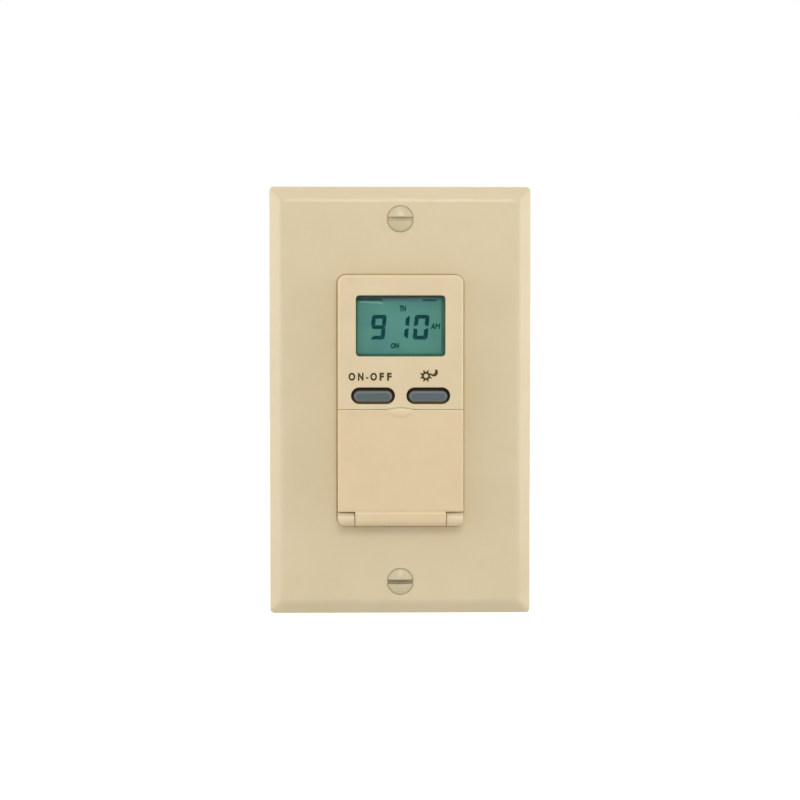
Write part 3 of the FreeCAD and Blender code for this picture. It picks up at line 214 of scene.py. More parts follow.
metals = {
    # zinc-plated steel strip, rolled along Z and punched: grey with a bluish cloud and fine lines
    "zincPlatedStrip": dict(colour="#b4b7bb", cloudColour="#9fa4ab", cloudMm=7.0, roughness=0.36, roughnessSpread=0.1,
                            lineMm=0.5, stretch=(1.0, 1.0, 0.06), depthMm=0.008),
    # zinc-plated screws, cold headed and rolled: brighter, with no direction
    "zincPlatedScrew": dict(colour="#b9bbbd", cloudColour="#a2a6ab", cloudMm=2.0, roughness=0.3, roughnessSpread=0.08,
                            lineMm=0.4, stretch=(1.0, 1.0, 1.0), depthMm=0.006),
    # nickel silver can of the crystal, deep drawn along Z
    "nickelCan": dict(colour="#bdbbb5", cloudColour="#aeaba3", cloudMm=3.0, roughness=0.22, roughnessSpread=0.06,
                      lineMm=0.3, stretch=(1.0, 1.0, 0.1), depthMm=0.004),
    # stainless steel cell and clip, pressed from brushed sheet
    "stainlessCell": dict(colour="#b0b0af", cloudColour="#a5a5a4", cloudMm=5.0, roughness=0.3, roughnessSpread=0.08,
                          lineMm=0.3, stretch=(0.05, 1.0, 1.0), depthMm=0.006),
    # brass, rolled and punched: yellow with brown clouds where hands have been
    "punchedBrass": dict(colour="#c9a55a", cloudColour="#b08c46", cloudMm=3.0, roughness=0.32, roughnessSpread=0.1,
                         lineMm=0.4, stretch=(1.0, 0.08, 1.0), depthMm=0.008),
    # gold flash over drawn brass pins: a richer yellow, and brighter
    "goldPlatedPins": dict(colour="#d4b15e", cloudColour="#c39f4f", cloudMm=2.0, roughness=0.25, roughnessSpread=0.05,
                           lineMm=0.2, stretch=(1.0, 0.1, 1.0), depthMm=0.004),
    # soft iron of the relay, bent and nickel plated: dull and grey
    "softIron": dict(colour="#8f9093", cloudColour="#7f8083", cloudMm=3.0, roughness=0.45, roughnessSpread=0.1,
                     lineMm=0.4, stretch=(1.0, 0.1, 1.0), depthMm=0.01),
    # silver alloy contacts and their bronze leaf
    "contactSilver": dict(colour="#c8b98f", cloudColour="#b7a67a", cloudMm=1.5, roughness=0.3, roughnessSpread=0.08,
                          lineMm=0.3, stretch=(1.0, 1.0, 0.1), depthMm=0.005),
}

finishes = {name: mouldedPlastic(name, look) for name, look in plastics.items()}
finishes.update({name: workedMetal(name, look) for name, look in metals.items()})

keyLook = {
    # colours of the face, of its rim, paler as a painted highlight, and of the collar behind it, dark as painted
    # shade of the gap round the cap
    "face": "#515e5b",
    "faceDrift": "#525d67",
    "driftMm": 9.0,
    "rim": "#75776f",
    # the collar's painted shade is darkest at its top and paler at its foot, where light falls into the gap
    "collarShadeTop": "#2a1f11",
    "collarLitFoot": "#7c6c4b",
    "litFootFromTo": (0.3, -0.4),
    # the two caps' middles in X and Z, and half the straight length of their sides
    "middle": (7.3, 1.2),
    "halfStraight": 3.6,
    # the painted highlight grows with the distance from the line between the end rounds, up to where the collar's
    # painted shade starts
    "paintedRimFromTo": (0.75, 1.25),
    "collarShadeFromTo": (1.36, 1.44),
    "grainMm": 0.35,
    "depthMm": 0.01,
}


def makeKeyFinish(look):
    # silicone keys: a dull grey cap with a painted highlight round its edge, on a collar of painted shade, dark at
    # its top and paler at its foot
    shader = {"Roughness": 0.6, "IOR": 1.43, "Sheen Weight": 0.2, "Sheen Roughness": 0.4}
    material, tree, surface, coords = newFinish("keySiliconePaintedLight", shader)
    middleX, middleZ = (value * metresPerMm for value in look["middle"])
    halfStraight = look["halfStraight"] * metresPerMm
    place = {"Location": (0, 0, -middleZ)}
    away = addNode(tree, "ShaderNodeMapping", None, place, {"Vector": coords}).outputs["Vector"]
    for operation, other in (
        ("ABSOLUTE", (0, 0, 0)), ("SUBTRACT", (middleX, 0, 0)), ("ABSOLUTE", (0, 0, 0)),
        ("SUBTRACT", (halfStraight, 0, 0)), ("MAXIMUM", (0, 0, 0)), ("MULTIPLY", (1, 0, 1)),
    ):
        step = addNode(tree, "ShaderNodeVectorMath", {"operation": operation}, {1: other}, {0: away})
        away = step.outputs["Vector"]
    distance = addNode(tree, "ShaderNodeVectorMath", {"operation": "LENGTH"}, None, {0: away}).outputs["Value"]
    height = addNode(tree, "ShaderNodeSeparateXYZ", None, None, {"Vector": coords}).outputs["Z"]
    shares = []
    for measure, fromTo in ((distance, "paintedRimFromTo"), (distance, "collarShadeFromTo"), (height, "litFootFromTo")):
        start, end = look[fromTo]
        span = {"From Min": start * metresPerMm, "From Max": end * metresPerMm}
        shares.append(addNode(tree, "ShaderNodeMapRange", None, span, {"Value": measure}).outputs["Result"])
    atRim, atCollarShade, atLitFoot = shares
    face = driftingColour(tree, coords, look["driftMm"], slowNoise, look["face"], look["faceDrift"])
    # a painted highlight paling the cap's rim, then the collar's painted shade, darker at its top
    rim = {mixSecond: linearColour(look["rim"])}
    cap = addNode(tree, "ShaderNodeMix", colourMix, rim, {"Factor": atRim, mixFirst: face}).outputs[mixed]
    collarShades = {mixFirst: linearColour(look["collarShadeTop"]), mixSecond: linearColour(look["collarLitFoot"])}
    collarShade = addNode(tree, "ShaderNodeMix", colourMix, collarShades, {"Factor": atLitFoot}).outputs[mixed]
    shots = {"Factor": atCollarShade, mixFirst: cap, mixSecond: collarShade}
    colour = addNode(tree, "ShaderNodeMix", colourMix, None, shots).outputs[mixed]
    tree.links.new(colour, surface.inputs["Base Color"])
    rippledSurface(tree, surface, coords, look["grainMm"], look["depthMm"])
    return material


screwShadeLook = {
    # the screws' distance from the middle of the plate, and the depth at which the painted shade in the slot ends
    "screwZ": 48.42,
    "slotDepthFromTo": (-5.0, -5.2),
    # distances over which the painted shade comes up, from the slot's middle line and from the screw's own axis
    "slotFromTo": (0.66, 0.57),
    "paintedRimFromTo": (3.05, 3.4),
    "slotShade": "#a09271",
    "rimShade": "#ab9d78",
}


def makeScrewFinish(look):
    # the screw enamel, with painted shade round both rims and in the lower screw's slot
    material = mouldedPlastic("enamelPaintedShade", plastics["screwEnamel"])
    tree = material.node_tree
    baseColour = next(node for node in tree.nodes if node.type == "BSDF_PRINCIPLED").inputs["Base Color"]
    enamel = baseColour.links[0].from_socket
    coords = addNode(tree, "ShaderNodeTexCoord").outputs["Object"]
    screwZ = look["screwZ"] * metresPerMm
    # the distance from the axis of the nearer screw
    folded = addNode(tree, "ShaderNodeVectorMath", {"operation": "ABSOLUTE"}, None, {0: coords}).outputs["Vector"]
    place = {"Location": (0, 0, -screwZ), "Scale": (1, 0, 1)}
    centred = addNode(tree, "ShaderNodeMapping", None, place, {"Vector": folded}).outputs["Vector"]
    fromAxis = addNode(tree, "ShaderNodeVectorMath", {"operation": "LENGTH"}, None, {0: centred}).outputs["Value"]
    # the height over or under the lower screw's slot, and the depth
    place = {"Location": (0, 0, screwZ)}
    lower = addNode(tree, "ShaderNodeMapping", None, place, {"Vector": coords}).outputs["Vector"]
    across = addNode(tree, "ShaderNodeVectorMath", {"operation": "ABSOLUTE"}, None, {0: lower}).outputs["Vector"]
    fromSlot = addNode(tree, "ShaderNodeSeparateXYZ", None, None, {"Vector": across}).outputs["Z"]
    depth = addNode(tree, "ShaderNodeSeparateXYZ", None, None, {"Vector": coords}).outputs["Y"]
    shares = []
    for measure, fromTo in ((fromAxis, "paintedRimFromTo"), (fromSlot, "slotFromTo"), (depth, "slotDepthFromTo")):
        start, end = look[fromTo]
        span = {"From Min": start * metresPerMm, "From Max": end * metresPerMm}
        shares.append(addNode(tree, "ShaderNodeMapRange", None, span, {"Value": measure}).outputs["Result"])
    atRim, nearSlot, inFront = shares
    inSlot = addNode(tree, "ShaderNodeMath", {"operation": "MINIMUM"}, None, {0: nearSlot, 1: inFront}).outputs[0]
    # painted shade round the rims, then in the lower screw's slot
    colour = enamel
    for share, shade in ((atRim, "rimShade"), (inSlot, "slotShade")):
        over = {mixSecond: linearColour(look[shade])}
        colour = addNode(tree, "ShaderNodeMix", colourMix, over, {"Factor": share, mixFirst: colour}).outputs[mixed]
    tree.links.new(colour, baseColour)
    return material


boardLook = {
    "resist": "#1f6b3f",
    "track": "#2f8352",
    "pitchMm": 1.27,
    "regionMm": 6.0,
    # the height of the texture's waves at which a track starts, and at which it is in full
    "trackFromTo": (0.6, 0.72),
    "weaveMm": 0.9,
    # how high the weave is against a track, and how high a track is
    "weaveShare": 0.15,
    "depthMm": 0.03,
}
# the wave texture draws 20 radians in one unit of its scale
waveUnit = fullTurn / 20


def makeBoardFinish(look):
    # glass epoxy board under green solder resist: bundles of tracks show as paler lines, with a weave under them
    material, tree, surface, coords = newFinish("solderResistBoard", {"Roughness": 0.32, "IOR": 1.5})
    waves = {"Scale": waveUnit * patternScale(look["pitchMm"])}
    level, upright = (
        addNode(tree, "ShaderNodeTexWave", {"bands_direction": along}, waves, {"Vector": coords}).outputs["Fac"]
        for along in ("Z", "X")
    )
    # the bundles run level in some square regions and upright in the others
    squares = {"Scale": patternScale(look["regionMm"])}
    regions = addNode(tree, "ShaderNodeTexVoronoi", {"distance": "CHEBYCHEV"}, squares, {"Vector": coords})
    chosen = addNode(
        tree, "ShaderNodeMath", {"operation": "GREATER_THAN"}, {1: 0.5}, {0: regions.outputs["Color"]}).outputs[0]
    bundles = {"Factor": chosen, mixFirst: level, mixSecond: upright}
    ridges = addNode(tree, "ShaderNodeMix", colourMix, None, bundles).outputs[mixed]
    start, end = look["trackFromTo"]
    span = {"From Min": start, "From Max": end}
    tracks = addNode(tree, "ShaderNodeMapRange", None, span, {"Value": ridges}).outputs["Result"]
    greens = {mixFirst: linearColour(look["resist"]), mixSecond: linearColour(look["track"])}
    colour = addNode(tree, "ShaderNodeMix", colourMix, greens, {"Factor": tracks}).outputs[mixed]
    weave = {"Scale": patternScale(look["weaveMm"])}
    cells = addNode(tree, "ShaderNodeTexVoronoi", None, weave, {"Vector": coords}).outputs["Distance"]
    height = addNode(
        tree, "ShaderNodeMath", {"operation": "MULTIPLY_ADD"}, {1: look["weaveShare"]}, {0: cells, 2: tracks})
    depth = {"Distance": look["depthMm"] * metresPerMm}
    relief = addNode(tree, "ShaderNodeBump", None, depth, {"Height": height.outputs[0]})
    tree.links.new(colour, surface.inputs["Base Color"])
    tree.links.new(relief.outputs["Normal"], surface.inputs["Normal"])
    return material


windingLook = {"wire": "#b8692f", "gap": "#6b3214", "wireMm": 0.35, "depthMm": 0.08}


def makeWindingFinish(look):
    # enamelled copper wire wound on the bobbin, which stands along Y: bright ridges a wire apart, with painted shade
    # darkening the grooves between them
    material, tree, surface, coords = newFinish("enamelledWinding", {"Metallic": 0.9, "Roughness": 0.3})
    waves = {"Scale": waveUnit * patternScale(look["wireMm"]), "Distortion": 0.4, "Detail": 1.0}
    ridges = addNode(tree, "ShaderNodeTexWave", {"bands_direction": "Y"}, waves, {"Vector": coords}).outputs["Fac"]
    coppers = {mixFirst: linearColour(look["gap"]), mixSecond: linearColour(look["wire"])}
    colour = addNode(tree, "ShaderNodeMix", colourMix, coppers, {"Factor": ridges}).outputs[mixed]
    depth = {"Distance": look["depthMm"] * metresPerMm}
    relief = addNode(tree, "ShaderNodeBump", None, depth, {"Height": ridges})
    tree.links.new(colour, surface.inputs["Base Color"])
    tree.links.new(relief.outputs["Normal"], surface.inputs["Normal"])
    return material


def clearSheet(name, look):
    # moulded acrylic or drawn glass: clear with a faint tint, and the odd fine ripple
    shader = {
        "Base Color": linearColour(look["tint"]), "IOR": look["ior"], "Alpha": look["alpha"], "Roughness": 0.04}
    material, tree, surface, coords = newFinish(name, shader)
    rippledSurface(tree, surface, coords, look["rippleMm"], look["depthMm"])
    return material


def displayLayer(name, look):
    # a layer of the liquid crystal cell: flat and even, with a slow drift of tone, its gloss taken by the lens
    shader = {"Roughness": 0.5, "IOR": 1.5, "Specular IOR Level": 0.02}
    material, tree, surface, coords = newFinish(name, shader)
    colour = driftingColour(tree, coords, look["driftMm"], slowNoise, look["colour"], look["driftColour"])
    tree.links.new(colour, surface.inputs["Base Color"])
    rippledSurface(tree, surface, coords, look["grainMm"], look["depthMm"])
    return material


clearSheets = {
    "acrylicLens": dict(tint="#26332e", alpha=0.04, ior=1.49, rippleMm=6.0, depthMm=0.01),
    "displayGlass": dict(tint="#9fb8ad", alpha=0.12, ior=1.52, rippleMm=9.0, depthMm=0.01),
}
evenGrain = dict(grainMm=0.4, depthMm=0.003)
displayLayers = {
    # polarising film over the liquid crystal: dull green, bluer in some places than in others
    "polarisingFilm": dict(colour="#5f9c8a", driftColour="#59918c", driftMm=8.0, **evenGrain),
    # painted shade along the window's sides and bottom: a deeper green than the film
    "filmEdgeShade": dict(colour="#4a7c6c", driftColour="#447465", driftMm=3.0, **evenGrain),
    # painted shade under the window's top edge: a dark green-grey band above the film
    "topEdgeShade": dict(colour="#556a5c", driftColour="#4b6255", driftMm=2.5, **evenGrain),
    # a grey-blue band of painted reflection under the top edge's shade, with darker streaks of painted shade and a
    # thin pale streak of painted reflection
    "bandReflection": dict(colour="#64898a", driftColour="#5c8483", driftMm=2.0, **evenGrain),
    "streakShade": dict(colour="#37615f", driftColour="#2f5654", driftMm=1.5, **evenGrain),
    "streakReflection": dict(colour="#8dbaae", driftColour="#83b0a4", driftMm=1.5, **evenGrain),
    # darkened liquid crystal: the digits are near black with a blue cast, the small words thinner and greener
    "crystalDark": dict(colour="#0b4043", driftColour="#104649", driftMm=2.0, **evenGrain),
    "crystalPale": dict(colour="#0f423a", driftColour="#154a42", driftMm=1.0, **evenGrain),
}

finishes["solderResistBoard"] = makeBoardFinish(boardLook)
finishes["enamelledWinding"] = makeWindingFinish(windingLook)
finishes["keySiliconePaintedLight"] = makeKeyFinish(keyLook)
finishes["enamelPaintedShade"] = makeScrewFinish(screwShadeLook)
finishes.update({name: clearSheet(name, look) for name, look in clearSheets.items()})
finishes.update({name: displayLayer(name, look) for name, look in displayLayers.items()})

nodeFinishes = {
    "nylonPlate": ["wall_plate"],
    "absBezel": ["bezel"],
    "absDoor": ["door"],
    "keySiliconePaintedLight": ["on_off_key", "sun_moon_key"],
    "siliconeKeys": ["clock_key", "day_key", "hour_key", "program_key", "date_key", "minute_key"],
    "acetalPlunger": [name for name in nodes if name.endswith("_plunger")],
    "nylonSwitch": ["front_switches", "setting_switches"],
    "acrylicLens": ["display_lens"],
    "displayGlass": ["lcd_front_glass", "lcd_rear_glass"],
    "polarisingFilm": ["lcd_reflector"],
    "carbonRubber": ["zebra_strips"],
    "polycarbonateFrame": ["lcd_frame"],
    "solderResistBoard": ["logic_board", "power_board"],
    "polyesterSheet": ["insulating_sheet"],
    "chipEpoxy": ["controller_chip"],
    "nickelCan": ["crystal"],
    "stainlessCell": ["backup_cell", "cell_clip"],
    "polyesterHeader": ["socket_header", "pin_header"],
    "goldPlatedPins": ["header_pins"],
    "polyesterBase": ["relay_base"],
    "polycarbonateCover": ["relay_cover"],
    "softIron": ["relay_yoke", "relay_armature"],
    "enamelledWinding": ["relay_coil"],
    "contactSilver": ["relay_contact_arm", "relay_fixed_contact"],
    "capacitorBox": ["film_capacitor"],
    "vinylSleeve": ["storage_capacitor"],
    "varistorEpoxy": ["varistor"],
    "phenolicHousing": ["rear_housing"],
    "zincPlatedStrip": ["mounting_strap"],
    "washerFibre": ["screw_washers"],
    "enamelPaintedShade": ["plate_screws"],
    "greenEnamel": ["ground_screw"],
    "zincPlatedScrew": ["box_screws", "case_screws", "board_screws", "terminal_screws"],
    "punchedBrass": ["terminal_plates"],
}
for finish, names in nodeFinishes.items():
    for name in names:
        for i in range(len(nodes[name].material_slots)):
            nodes[name].material_slots[i].material = finishes[finish]
print("finishes:", len(finishes), "on", sum(len(names) for names in nodeFinishes.values()), "nodes")


def meshFrom(shape, name):
    mesh = bpy.data.meshes.new(name)
    shape.to_mesh(mesh)
    shape.free()
    return mesh


def joinShapes(shapes):
    # one shape of several
    whole = bmesh.new()
    for shape in shapes:
        part = meshFrom(shape, "part")
        whole.from_mesh(part)
        bpy.data.meshes.remove(part)
    return whole


def finishPiece(shape, name, finish):
    # the shape is in millimetres, in the frame's axes, and every one here is fixed to the switch itself
    bmesh.ops.recalc_face_normals(shape, faces=shape.faces[:])
    bmesh.ops.scale(shape, verts=shape.verts[:], vec=(metresPerMm, metresPerMm, metresPerMm))
    mesh = meshFrom(shape, name)
    mesh.polygons.foreach_set("use_smooth", [True] * len(mesh.polygons))
    mesh.set_sharp_from_angle(angle=smoothAngle)
    mesh.materials.append(finishes[finish])
    piece = bpy.data.objects.new(name, mesh)
    scene.collection.objects.link(piece)
    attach(piece, "switch")


# Prints and display marks are drawn flat in X and Y, raised a little, and stood up to face the room.
def raiseFlat(shape, height):
    lifted = bmesh.ops.extrude_face_region(shape, geom=shape.faces[:])
    verts = [part for part in lifted["geom"] if isinstance(part, bmesh.types.BMVert)]
    bmesh.ops.translate(shape, verts=verts, vec=(0, 0, height))


def standUp(shape, x, y, z):
    # the drawing's origin comes to x, y, z and its top points up
    place = Matrix.Translation((x, y, z)) @ Matrix.Rotation(quarterTurn, 4, "X")
    bmesh.ops.transform(shape, matrix=place, verts=shape.verts[:])


def flatShape(corners):
    # the outline's edges go in, because corners alone would be sorted round their middle
    shape = bmesh.new()
    verts = [shape.verts.new((x, y, 0)) for x, y in corners]
    edges = [shape.edges.new(pair) for pair in zip(verts, verts[1:] + verts[:1])]
    bmesh.ops.contextual_create(shape, geom=edges)
    return shape


def flatBox(left, right, bottom, top):
    return flatShape([(left, bottom), (right, bottom), (right, top), (left, top)])


# steps in each curve of a letter, and how near to each other two points of its outline become one
letterSteps = 4
mergeDistance = 1e-5


def wordShape(letters, width, height, slant=0.0, boldness=0.0):
    # letters as a flat shape round the origin, fitted to a width and a height
    curve = bpy.data.curves.new("letters", "FONT")
    curve.body = letters
    curve.shear = slant
    curve.offset = boldness
    curve.resolution_u = letterSteps
    writer = bpy.data.objects.new("letters", curve)
    scene.collection.objects.link(writer)
    bpy.context.view_layer.update()
    outline = bpy.data.meshes.new_from_object(writer.evaluated_get(bpy.context.evaluated_depsgraph_get()))
    bpy.data.objects.remove(writer)
    bpy.data.curves.remove(curve)
    shape = bmesh.new()
    shape.from_mesh(outline)
    bpy.data.meshes.remove(outline)
    bmesh.ops.remove_doubles(shape, verts=shape.verts[:], dist=mergeDistance)
    xs = [vert.co.x for vert in shape.verts]
    ys = [vert.co.y for vert in shape.verts]
    middle = Vector(((min(xs) + max(xs)) / 2, (min(ys) + max(ys)) / 2, 0))
    bmesh.ops.translate(shape, verts=shape.verts[:], vec=-middle)
    fit = (width / (max(xs) - min(xs)), height / (max(ys) - min(ys)), 1)
    bmesh.ops.scale(shape, verts=shape.verts[:], vec=fit)
    return shape


bezelFaceY = -11.0
inkThickness = 0.02

onOffPrint = {
    "middleZ": 6.45,
    "height": 2.12,
    "boldness": 0.05,
    # letter: middle and width
    "letters": [("O", -12.88, 1.78), ("N", -10.54, 1.46), ("O", -7.14, 1.78), ("F", -5.0, 1.16), ("F", -3.0, 1.2)],
    "dashMiddle": (-8.84, 6.14),
    "dashSize": (0.62, 0.42),
}


def makeOnOffPrint(look):
    shapes = []
    for letter, x, width in look["letters"]:
        shape = wordShape(letter, width, look["height"], boldness=look["boldness"])
        raiseFlat(shape, inkThickness)
        standUp(shape, x, bezelFaceY, look["middleZ"])
        shapes.append(shape)
    halfWidth, halfHeight = look["dashSize"][0] / 2, look["dashSize"][1] / 2
    dash = flatBox(-halfWidth, halfWidth, -halfHeight, halfHeight)
    raiseFlat(dash, inkThickness)
    standUp(dash, look["dashMiddle"][0], bezelFaceY, look["dashMiddle"][1])
    shapes.append(dash)
    finishPiece(joinShapes(shapes), "onOffPrint", "brownInk")


sunMoonPrint = {
    "sun": (6.68, 6.66),
    "holeRadius": 0.56,
    "bodyRadius": 0.98,
    "rayRadius": 1.78,
    "rays": 8,
    # the crescent's outer and inner edge: middle, radius, start and end angle
    "moonOuter": ((8.75, 7.6), 1.09, 48, -137),
    "moonInner": ((8.22, 7.97), 0.9, 25, -108),
    "arcSteps": 24,
}


def makeSunMoonPrint(look):
    # the sun is a star with a round hole: every other point of its rim is drawn out to a ray
    sun = bmesh.new()
    hole = bmesh.ops.create_circle(sun, segments=look["rays"] * 2, radius=look["holeRadius"])["verts"]
    bmesh.ops.create_circle(sun, segments=look["rays"] * 2, radius=look["bodyRadius"])
    bmesh.ops.bridge_loops(sun, edges=sun.edges[:])
    rim = [vert for vert in sun.verts if vert not in hole]
    rim.sort(key=lambda vert: math.atan2(vert.co.y, vert.co.x))
    stretch = look["rayRadius"] / look["bodyRadius"]
    bmesh.ops.scale(sun, verts=rim[::2], vec=(stretch, stretch, 1))
    raiseFlat(sun, inkThickness)
    standUp(sun, look["sun"][0], bezelFaceY, look["sun"][1])
    # the crescent is bridged between its two edges, each an arc spun from a point
    moon = bmesh.new()
    for middle, radius, start, end in (look["moonOuter"], look["moonInner"]):
        centre = Vector((*middle, 0))
        arm = Matrix.Rotation(math.radians(start), 3, "Z") @ Vector((radius, 0, 0))
        point = moon.verts.new(centre + arm)
        sweep = math.radians(end - start)
        bmesh.ops.spin(moon, geom=[point], cent=centre, axis=(0, 0, 1), angle=sweep, steps=look["arcSteps"])
    bmesh.ops.bridge_loops(moon, edges=moon.edges[:])
    raiseFlat(moon, inkThickness)
    standUp(moon, 0, bezelFaceY, 0)
    finishPiece(joinShapes([sun, moon]), "sunMoonPrint", "brownInk")


settingPrint = {
    "faceY": -7.4,
    "height": 1.15,
    "letterWidth": 0.92,
    "aboveKey": 3.3,
    "words": [
        ("CLOCK", -6.9, -9.2), ("DAY", -6.9, -15.925), ("HOUR", -6.9, -22.65),
        ("PROG", 6.9, -9.2), ("DATE", 6.9, -15.925), ("MIN", 6.9, -22.65),
    ],
}


def makeSettingPrint(look):
    # plain names over the setting keys, inside the door's well
    shapes = []
    for word, x, keyZ in look["words"]:
        shape = wordShape(word, look["letterWidth"] * len(word), look["height"])
        raiseFlat(shape, inkThickness)
        standUp(shape, x, look["faceY"], keyZ + look["aboveKey"])
        shapes.append(shape)
    finishPiece(joinShapes(shapes), "settingPrint", "brownInk")


makeOnOffPrint(onOffPrint)
makeSunMoonPrint(sunMoonPrint)
makeSettingPrint(settingPrint)
print("prints: the words and signs on the bezel and in the well")

display = {
    "glassFront": -8.3,
    "filmThickness": 0.05,
    "markThickness": 0.02,
    # left, right, bottom and top of each flat layer, over the front glass
    "film": (-12.7, 12.7, 11.05, 28.65),
    "edges": [(-12.7, -11.4, 11.05, 27.05), (10.85, 12.7, 11.05, 27.05), (-11.4, 10.85, 11.05, 12.58)],
    "mask": [(-12.7, -4.8, 27.05, 28.65), (-4.8, 1.8, 27.15, 28.65), (1.8, 12.7, 27.35, 28.65)],
    "reflectionBand": [(-4.8, 1.8, 26.4, 27.15), (1.8, 5.9, 26.4, 27.35), (5.9, 9.6, 26.95, 27.35), (9.6, 10.7, 26.6, 27.35)],
    # tracks: darker streaks of painted shade under the top band
    "tracks": [(-11.4, -4.8, 26.55, 27.05), (5.9, 9.6, 26.45, 26.95)],
    "streakLine": [(-10.7, 26.3), (-9.3, 26.47), (-7.6, 26.2), (-6.0, 26.26), (-4.7, 25.95)],
    "streakHeight": 0.34,
}


def makeDisplayLayers(look):
    filmFront = look["glassFront"] - look["filmThickness"]
    film = flatBox(*look["film"])
    raiseFlat(film, look["filmThickness"])
    standUp(film, 0, look["glassFront"], 0)
    finishPiece(film, "displayFilm", "polarisingFilm")
    # the marks laid over the film are painted shade along the window's edges and a painted reflection under its top
    # edge
    layers = {"edges": "filmEdgeShade", "mask": "topEdgeShade", "reflectionBand": "bandReflection", "tracks": "streakShade"}
    for layer, finish in layers.items():
        shapes = []
        for box in look[layer]:
            shape = flatBox(*box)
            raiseFlat(shape, look["markThickness"])
            standUp(shape, 0, filmFront, 0)
            shapes.append(shape)
        finishPiece(joinShapes(shapes), "display" + layer.capitalize(), finish)
    # a painted reflection: a thin pale wavy streak under the band
    below = [(x, z - look["streakHeight"]) for x, z in reversed(look["streakLine"])]
    streak = flatShape(look["streakLine"] + below)
    raiseFlat(streak, look["markThickness"])
    standUp(streak, 0, filmFront, 0)
    finishPiece(streak, "displayStreak", "streakReflection")


digits = {
    "faceY": -8.35,
    "thickness": 0.02,
    "middleZ": 19.56,
    # digit and the middle of its place
    "shown": [("9", -5.88), ("1", 0.28), ("0", 5.47)],
    "halfWidth": 1.96,
    "halfHeight": 3.26,
    "uprightBar": 1.08,
    "levelBar": 1.0,
    "cornerCut": 0.46,
    "cornerGap": 0.03,
    "middleGap": 0.22,
    # the middle bar: how far its tips and its shoulders lie in from the sides, and half the height of a tip
    "tipIn": 0.25,
    "shoulderIn": 0.8,
    "tipHalf": 0.22,
    # how much higher an upright bar ends on its inner side
    "innerRise": 0.4,
    "slant": 0.1,
    "wordSlant": 0.16,
    "boldness": 0.058,
    # word: middle x and z, width and height
    "words": [("TH", 0.63, 24.5, 1.8, 1.6), ("A", 8.56, 19.8, 1.14, 1.5), ("ON", -1.44, 14.65, 2.3, 1.5)],
    # the font's own M closes up when it is made bolder, so it is drawn, with its outline from 0 to 1
    "emPlace": (9.86, 19.8, 1.26, 1.5),
    "emOutline": [
        (0, 0), (0.22, 0), (0.22, 0.6), (0.5, 0.3), (0.78, 0.6), (0.78, 0), (1, 0), (1, 1), (0.82, 1), (0.5, 0.62),
        (0.18, 1), (0, 1)],
}
litSegments = {"0": "abcdef", "1": "bc", "9": "abcdfg"}


def barShape(segment, look):
    # one bar of a seven-segment digit, mitred against its neighbours; the others are mirrors of these three
    w, h, upright, level = look["halfWidth"], look["halfHeight"], look["uprightBar"], look["levelBar"]
    cut, gap, middle = look["cornerCut"], look["cornerGap"], look["middleGap"]
    tip, shoulder = upright * look["tipIn"], upright * look["shoulderIn"]
    half, rise = level * look["tipHalf"], level * look["innerRise"]
    outlines = {
        "a": [(cut / 2 + gap - w, h - cut / 2), (cut - w, h), (w - cut, h), (w - cut / 2 - gap, h - cut / 2),
              (w - upright - gap, h - level), (upright + gap - w, h - level)],
        "f": [(-w, h - cut), (cut / 2 - w, h - cut / 2 - gap), (upright - w, h - level - gap),
              (upright - w, middle + rise), (-w, middle)],
        "g": [(tip - w, -half), (tip - w, half), (shoulder - w, level / 2), (w - shoulder, level / 2),
              (w - tip, half), (w - tip, -half), (w - shoulder, -level / 2), (shoulder - w, -level / 2)],
    }
    source, across, up = {
        "a": ("a", 1, 1), "d": ("a", 1, -1), "f": ("f", 1, 1), "b": ("f", -1, 1), "e": ("f", 1, -1),
        "c": ("f", -1, -1), "g": ("g", 1, 1)}[segment]
    bar = flatShape(outlines[source])
    bmesh.ops.scale(bar, verts=bar.verts[:], vec=(across, up, 1))
    return bar


def makeDigits(look):
    lean = Matrix(((1, look["slant"], 0, 0), (0, 1, 0, 0), (0, 0, 1, 0), (0, 0, 0, 1)))
    shapes = []
    for digit, x in look["shown"]:
        for segment in litSegments[digit]:
            bar = barShape(segment, look)
            bmesh.ops.transform(bar, matrix=lean, verts=bar.verts[:])
            raiseFlat(bar, look["thickness"])
            standUp(bar, x, look["faceY"], look["middleZ"])
            shapes.append(bar)
    finishPiece(joinShapes(shapes), "displayDigits", "crystalDark")
    shapes = []
    for letters, x, z, width, height in look["words"]:
        word = wordShape(letters, width, height, slant=look["wordSlant"], boldness=look["boldness"])
        raiseFlat(word, look["thickness"])
        standUp(word, x, look["faceY"], z)
        shapes.append(word)
    x, z, width, height = look["emPlace"]
    straight = [((across - 0.5) * width, (up - 0.5) * height) for across, up in look["emOutline"]]
    em = flatShape([(across + up * look["wordSlant"], up) for across, up in straight])
    raiseFlat(em, look["thickness"])
    standUp(em, x, look["faceY"], z)
    shapes.append(em)
    finishPiece(joinShapes(shapes), "displayWords", "crystalPale")


makeDisplayLayers(display)
makeDigits(digits)
print("display: film, marks, digits and small words")

slitShadeRing = {
    # a tan ring of painted shade fills the slit round the bezel and laps over the plate's edge
    "width": 33.2,
    "height": 66.6,
    "corner": 2.1,
    # how far its inner and its outer edge stand out from the bezel, and its front and back
    "edgesOut": (0.01, 0.5),
    "fromTo": (-5.66, -5.59),
    "cornerSteps": 8,
}


